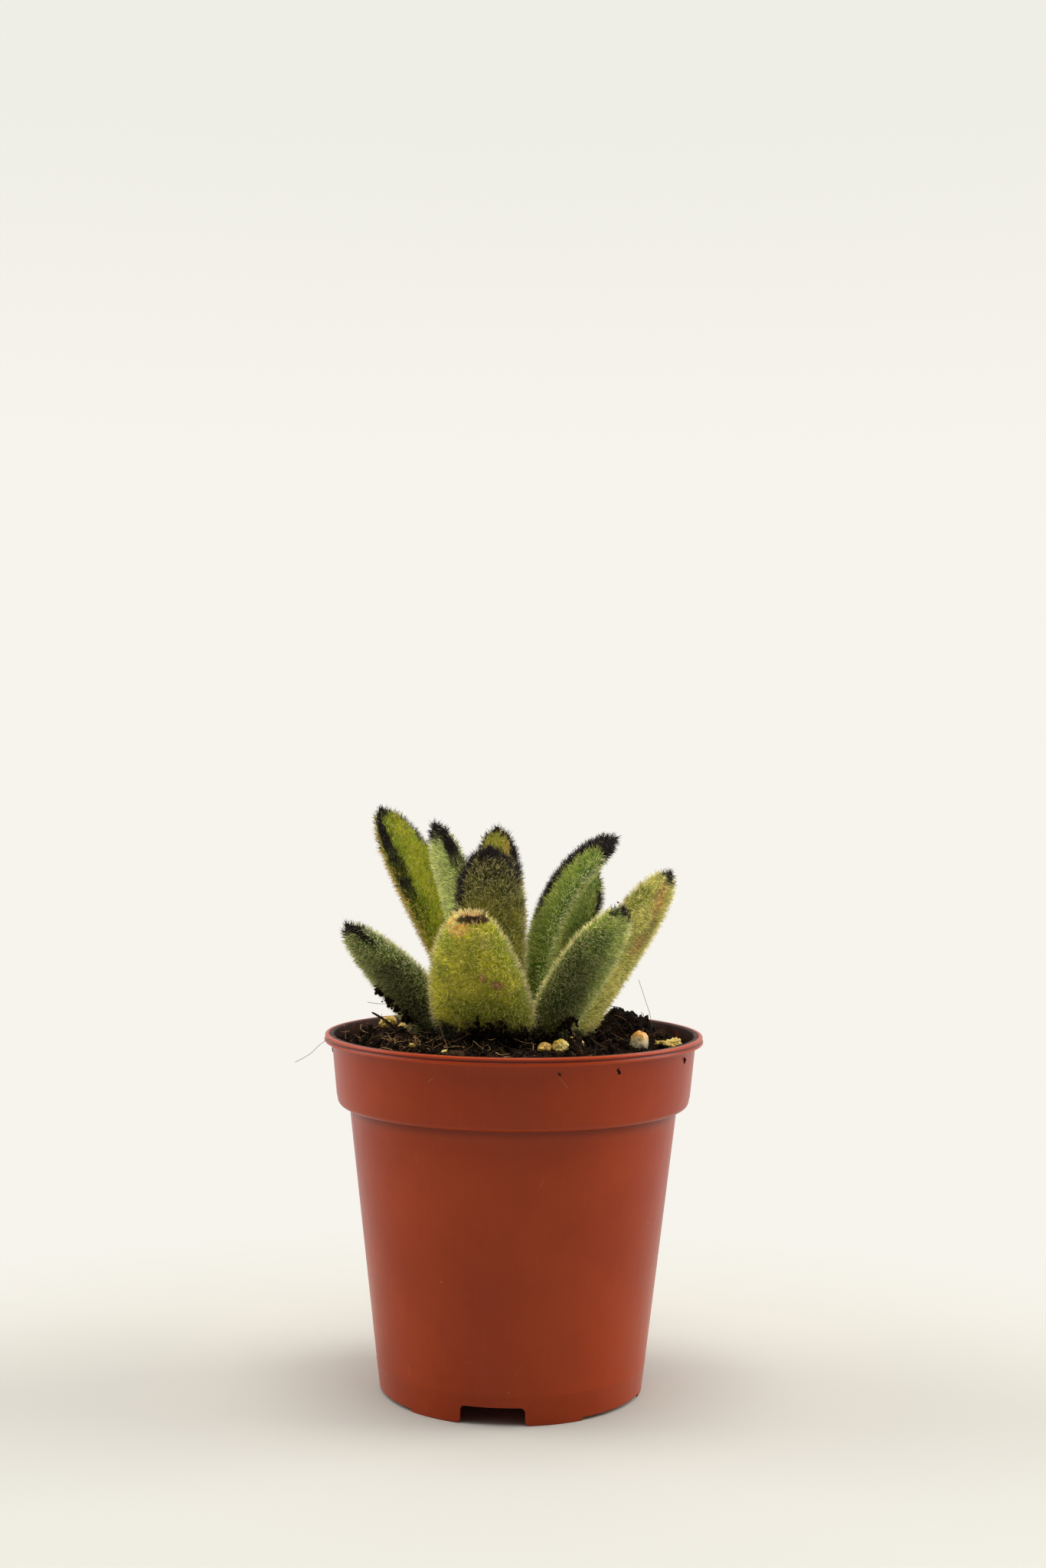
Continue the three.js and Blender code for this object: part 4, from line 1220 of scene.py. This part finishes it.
fibres = {
    "soil_fibres": {
        "count": 420, "gathered": 0.2, "length": (1.0, 4.2), "radius": (0.04, 0.10), "lift": 0.4,
        "seed": 11, "tuftRadius": 0.045,
        "tufts": [(-17.6, -4.6, 55.6, 8, 1.0), (7.9, -9.6, 53.6, 8, 1.2)],
    },
    "root_fibres": {
        "count": 130, "gathered": 0.55, "length": (1.4, 5.0), "radius": (0.025, 0.07), "lift": 1.1,
        "seed": 12, "tuftRadius": 0.045,
        "tufts": [
            (-2.1, -12.6, 53.1, 16, 1.2), (-13.5, -15.2, 52.0, 12, 1.6), (9.2, -9.4, 51.6, 10, 1.0),
            (-17.0, -11.5, 51.6, 10, 2.0),
        ],
    },
}
fibreFinishes = {
    "soil_fibres": mottledMaterial(
        "peatFibre", [(74, 50, 28), (36, 24, 14), (120, 88, 50)], 800, 0.85, 0.0001, 0.15,
    ),
    "root_fibres": mottledMaterial(
        "rootFibre", [(196, 152, 92), (130, 92, 52), (224, 190, 130)], 700, 0.6, 0.0001, 0.3,
    ),
}
for name, sort in fibres.items():
    fibrePiece = soilFibres(name, sort, fibreFinishes[name])
    smoothShade(fibrePiece)
    finished(fibrePiece, "soil")


# Three stray hairs, crumbs held in the fuzz, and pale husk scraps on the soil

def strayHairs():
    points, faces = [], []
    for run in strays["runs"]:
        curve = [Vector(p) for p in run]
        fine = []
        for k in range(len(curve) - 1):
            a, b = curve[max(0, k - 1)], curve[k]
            c, d = curve[k + 1], curve[min(len(curve) - 1, k + 2)]
            for t in (0, 0.25, 0.5, 0.75):
                spot = 2 * b + (c - a) * t + (2 * a - 5 * b + 4 * c - d) * t * t
                fine.append(0.5 * (spot + (3 * b - a - 3 * c + d) * t**3))
        fine.append(curve[-1])
        addPart(points, faces, *tube(fine, [strays["radius"]] * len(fine)))
    return meshObject("stray_hairs", [p * mm for p in points], faces, strayMaterial)


strays = {
    "radius": 0.035,
    "runs": [
        [(20.4, 5.0, 51.0), (20.2, 5.0, 53.2), (19.5, 5.0, 55.4), (18.9, 5.1, 57.2), (18.4, 5.2, 58.6)],
        [(-25.0, -9.5, 50.6), (-26.0, -9.9, 51.3), (-27.2, -10.4, 50.6), (-28.6, -10.8, 49.3),
         (-30.6, -11.2, 48.2)],
        [(-13.6, 3.5, 54.2), (-15.4, 3.0, 54.4), (-17.6, 2.6, 54.9), (-20.0, 2.4, 55.0), (-21.6, 2.4, 55.2)],
    ],
}
strayShades = [(120, 112, 104), (96, 88, 80), (150, 140, 128)]
strayMaterial = mottledMaterial("strayHair", strayShades, 700, 0.6, 0.00005)
strayPiece = strayHairs()
smoothShade(strayPiece)
finished(strayPiece, "soil")


def heldCrumbs():
    # clusters of small lumps held in the fuzz of a leaf; each has its leaf, its place, how many lumps,
    # how far they spread, their size and how far they stand off the skin
    rng = random.Random(held["seed"])
    points, faces = [], []
    for leafName, place, count, spread, size, reach in held["clusters"]:
        leaf = leafBodies[leafName]
        for _ in range(count):
            near = Vector(place) + Vector([rng.gauss(0, spread) for _ in range(3)])
            _, skinPoint, normal, _ = leaf.closest_point_on_mesh(near * mm)
            middle = skinPoint / mm + normal * rng.uniform(0.05, reach)
            ball = bmesh.new()
            bmesh.ops.create_icosphere(ball, subdivisions=2, radius=1)
            scale = [size * rng.uniform(0.4, 1.4) for _ in range(3)]
            turn = Matrix.Rotation(rng.uniform(0, 6.3), 3, Vector([rng.gauss(0, 1) for _ in range(3)]))
            shift = Vector([rng.uniform(-9, 9) for _ in range(3)])
            for v in ball.verts:
                lump = 1 + 0.6 * noise.noise(v.co * 1.4 + shift)
                v.co = turn @ Vector([v.co[k] * scale[k] * lump for k in range(3)]) + middle
            sides = [tuple(v.index for v in f.verts) for f in ball.faces]
            addPart(points, faces, [v.co.copy() for v in ball.verts], sides)
            ball.free()
    return meshObject("held_crumbs", [p * mm for p in points], faces, crumbSoil)


held = {
    "seed": 5,
    "clusters": [
        ("leaf_left_low", (-21.4, -4.0, 55.6), 24, 0.35, 0.24, 1.1),
        ("leaf_left_low", (-19.8, -4.2, 53.8), 44, 0.6, 0.26, 1.2),
        ("leaf_left_low", (-17.2, -4.6, 52.0), 40, 0.8, 0.28, 1.0),
        ("leaf_front", (-3.4, -12.6, 52.0), 90, 1.5, 0.32, 0.8),
        ("leaf_front", (0.9, -12.4, 51.4), 40, 1.1, 0.30, 0.8),
        ("leaf_right_front", (7.9, -9.6, 53.4), 46, 0.6, 0.28, 1.1),
        ("leaf_right_outer", (9.4, -7.6, 53.0), 40, 0.7, 0.30, 0.9),
        ("leaf_right_outer", (14.4, 0.0, 71.0), 2, 0.1, 0.16, 1.3),
    ],
}
heldPiece = heldCrumbs()
smoothShade(heldPiece, 60)
finished(heldPiece, "soil")


def huskScraps():
    # flat lumps on the soil; each has its place, its length, its thickness and its turn
    piece = meshObject("husk_scraps", [], [])
    shape = bmesh.new()
    for x, y, z, length, thick, turn in husks["places"]:
        for vertex in bmesh.ops.create_icosphere(shape, subdivisions=3, radius=1)["verts"]:
            lump = 1 + husks["bumps"] * noise.noise(vertex.co * 1.6 + Vector((x, y, z)))
            flat = Vector((vertex.co.x * length, vertex.co.y * thick, vertex.co.z * thick)) * lump
            vertex.co = (Matrix.Rotation(math.radians(turn), 3, "Y") @ flat + Vector((x, y, z))) * mm
    shape.to_mesh(piece.data)
    shape.free()
    piece.data.materials.append(granuleFinishes["straw"])
    return piece


husks = {
    "bumps": 0.5,
    "places": [
        (8.7, -9.3, 51.4, 0.85, 0.45, 20), (9.6, -9.2, 51.0, 0.5, 0.35, 70),
        (-14.0, -14.8, 51.2, 0.5, 0.3, 10), (-9.5, -17.0, 50.6, 0.55, 0.3, -30),
        (17.6, -9.0, 50.9, 0.5, 0.35, 50), (3.8, -15.0, 50.9, 0.5, 0.3, 0),
    ],
}
huskPiece = huskScraps()
smoothShade(huskPiece)
finished(huskPiece, "granule")


# Stage: a pale floor with a band of painted shadow that fades into a dome glowing with painted backdrop
# light, dimmer higher up, a soft sky of light with a dim front, and three softboxes

stage = {
    # the dome's glow low down and high up is painted backdrop light; shade is the colour of the floor's
    # painted shadow band
    "backdropGlow": (247, 244, 237), "high": (239, 238, 230), "floor": (197, 196, 189), "shade": (196, 194, 186),
    "fadeCentre": (0, -0.04, 0), "fadeFrom": 0.085, "fadeTo": 0.16, "floorRadius": 0.3, "domeRadius": 3.0,
    # where the floor's painted shadow band rises and falls
    "shadowBandSpan": ((-0.05, -0.01), (0.10, 0.03)),  # from front to back, in metres
}
light = {
    "sky": (1.0, 0.99, 0.965), "skyStrength": 0.8, "frontShare": 0.07, "groundShare": 0.7,
    "boxSize": (0.5, 0.7), "aim": (0, 0, 0.05),
    "boxes": {  # the place and the power of each
        "leftBox": ((-0.75, 0.12, 0.40), 3.5), "rightBox": ((0.75, 0.10, 0.42), 5.0),
        "topBox": ((0.0, -0.12, 0.95), 5.0),
    },
}


def floorMaterial():
    material, tree, shader = newMaterial("paleFloor", Roughness=0.85, Specular_IOR_Level=0.15)
    place = objectPlace(tree)
    # a soft band of painted shadow across the floor round the pot
    shade = between(tree, split(tree, place)[1], *stage["shadowBandSpan"])
    colour = mixColours(tree, shade, paint(*stage["floor"]), paint(*stage["shade"]))
    tree.links.new(colour, shader.inputs["Base Color"])
    away = vectors(tree, "LENGTH", vectors(tree, "SUBTRACT", place, stage["fadeCentre"]))
    gone = steps(tree, away, stage["fadeFrom"], stage["fadeTo"])
    clear = addNode(tree, "ShaderNodeBsdfTransparent")
    mixed = addNode(tree, "ShaderNodeMixShader", {0: gone, 1: shader.outputs[0], 2: clear.outputs[0]})
    tree.links.new(mixed.outputs[0], tree.nodes["Material Output"].inputs["Surface"])
    return material


def makeStage():
    radius = stage["floorRadius"]
    rim = [polar(360 * i / 64, radius) for i in range(64)]
    floor = meshObject("floor", rim, [tuple(range(64))], floorMaterial())
    bpy.ops.mesh.primitive_uv_sphere_add(segments=48, ring_count=24, radius=stage["domeRadius"])
    dome = bpy.context.object
    dome.name = "dome"
    material = bpy.data.materials.new("glowingBackdrop")
    material.use_nodes = True
    tree = material.node_tree
    # painted backdrop light: the dome glows, a little dimmer higher up
    up = split(tree, objectPlace(tree))[2]
    rise = steps(tree, up, 0.15 * stage["domeRadius"], 0.42 * stage["domeRadius"])
    colour = mixColours(tree, rise, paint(*stage["backdropGlow"]), paint(*stage["high"]))
    glow = addNode(tree, "ShaderNodeEmission", {"Color": colour, "Strength": 1.0})
    tree.links.new(glow.outputs[0], tree.nodes["Material Output"].inputs["Surface"])
    dome.data.materials.append(material)
    dome.visible_diffuse = False
    dome.visible_glossy = False
    dome.visible_transmission = False
    dome.visible_shadow = False


def makeSky():
    world = bpy.data.worlds.new("studio")
    scene.world = world
    world.use_nodes = True
    tree = world.node_tree
    xyz = split(tree, addNode(tree, "ShaderNodeTexCoord").outputs["Generated"])
    dim = steps(tree, xyz[1], -0.20, -0.80)
    strength = steps(tree, dim, 0.0, 1.0, light["skyStrength"], light["skyStrength"] * light["frontShare"])
    below = steps(tree, xyz[2], -0.02, -0.12)
    ground = times(tree, below, light["groundShare"])
    strength = maths(tree, "MAXIMUM", strength, ground)
    back = tree.nodes["Background"]
    back.inputs["Color"].default_value = (*light["sky"], 1)
    tree.links.new(strength, back.inputs["Strength"])


def softbox(name, place, power):
    lamp = bpy.data.lights.new(name, "AREA")
    lamp.shape = "RECTANGLE"
    lamp.size, lamp.size_y = light["boxSize"]
    lamp.energy = power
    lamp.color = light["sky"]
    made = linked(name, lamp)
    made.location = place
    made.rotation_euler = (Vector(light["aim"]) - Vector(place)).to_track_quat("-Z", "Y").to_euler()
    made.visible_camera = False


def makeCamera():
    camera = bpy.data.cameras.new("camera")
    camera.lens = view["lens"]
    camera.sensor_width = view["sensor"]
    camera.clip_start = 0.01
    camera.dof.use_dof = False
    made = linked("camera", camera)
    made.location = Vector(view["place"]) * mm
    made.rotation_euler = (math.radians(90), math.radians(-view["roll"]), 0)
    scene.camera = made


view = {"lens": 44.87, "sensor": 36.0, "place": (0.97, -285.0, 87.5), "roll": 0.55}
print("stage: floor, dome, sky, softboxes and camera")
makeStage()
makeSky()
for name, (place, power) in light["boxes"].items():
    softbox(name, place, power)
makeCamera()
scene.view_settings.view_transform = "Standard"
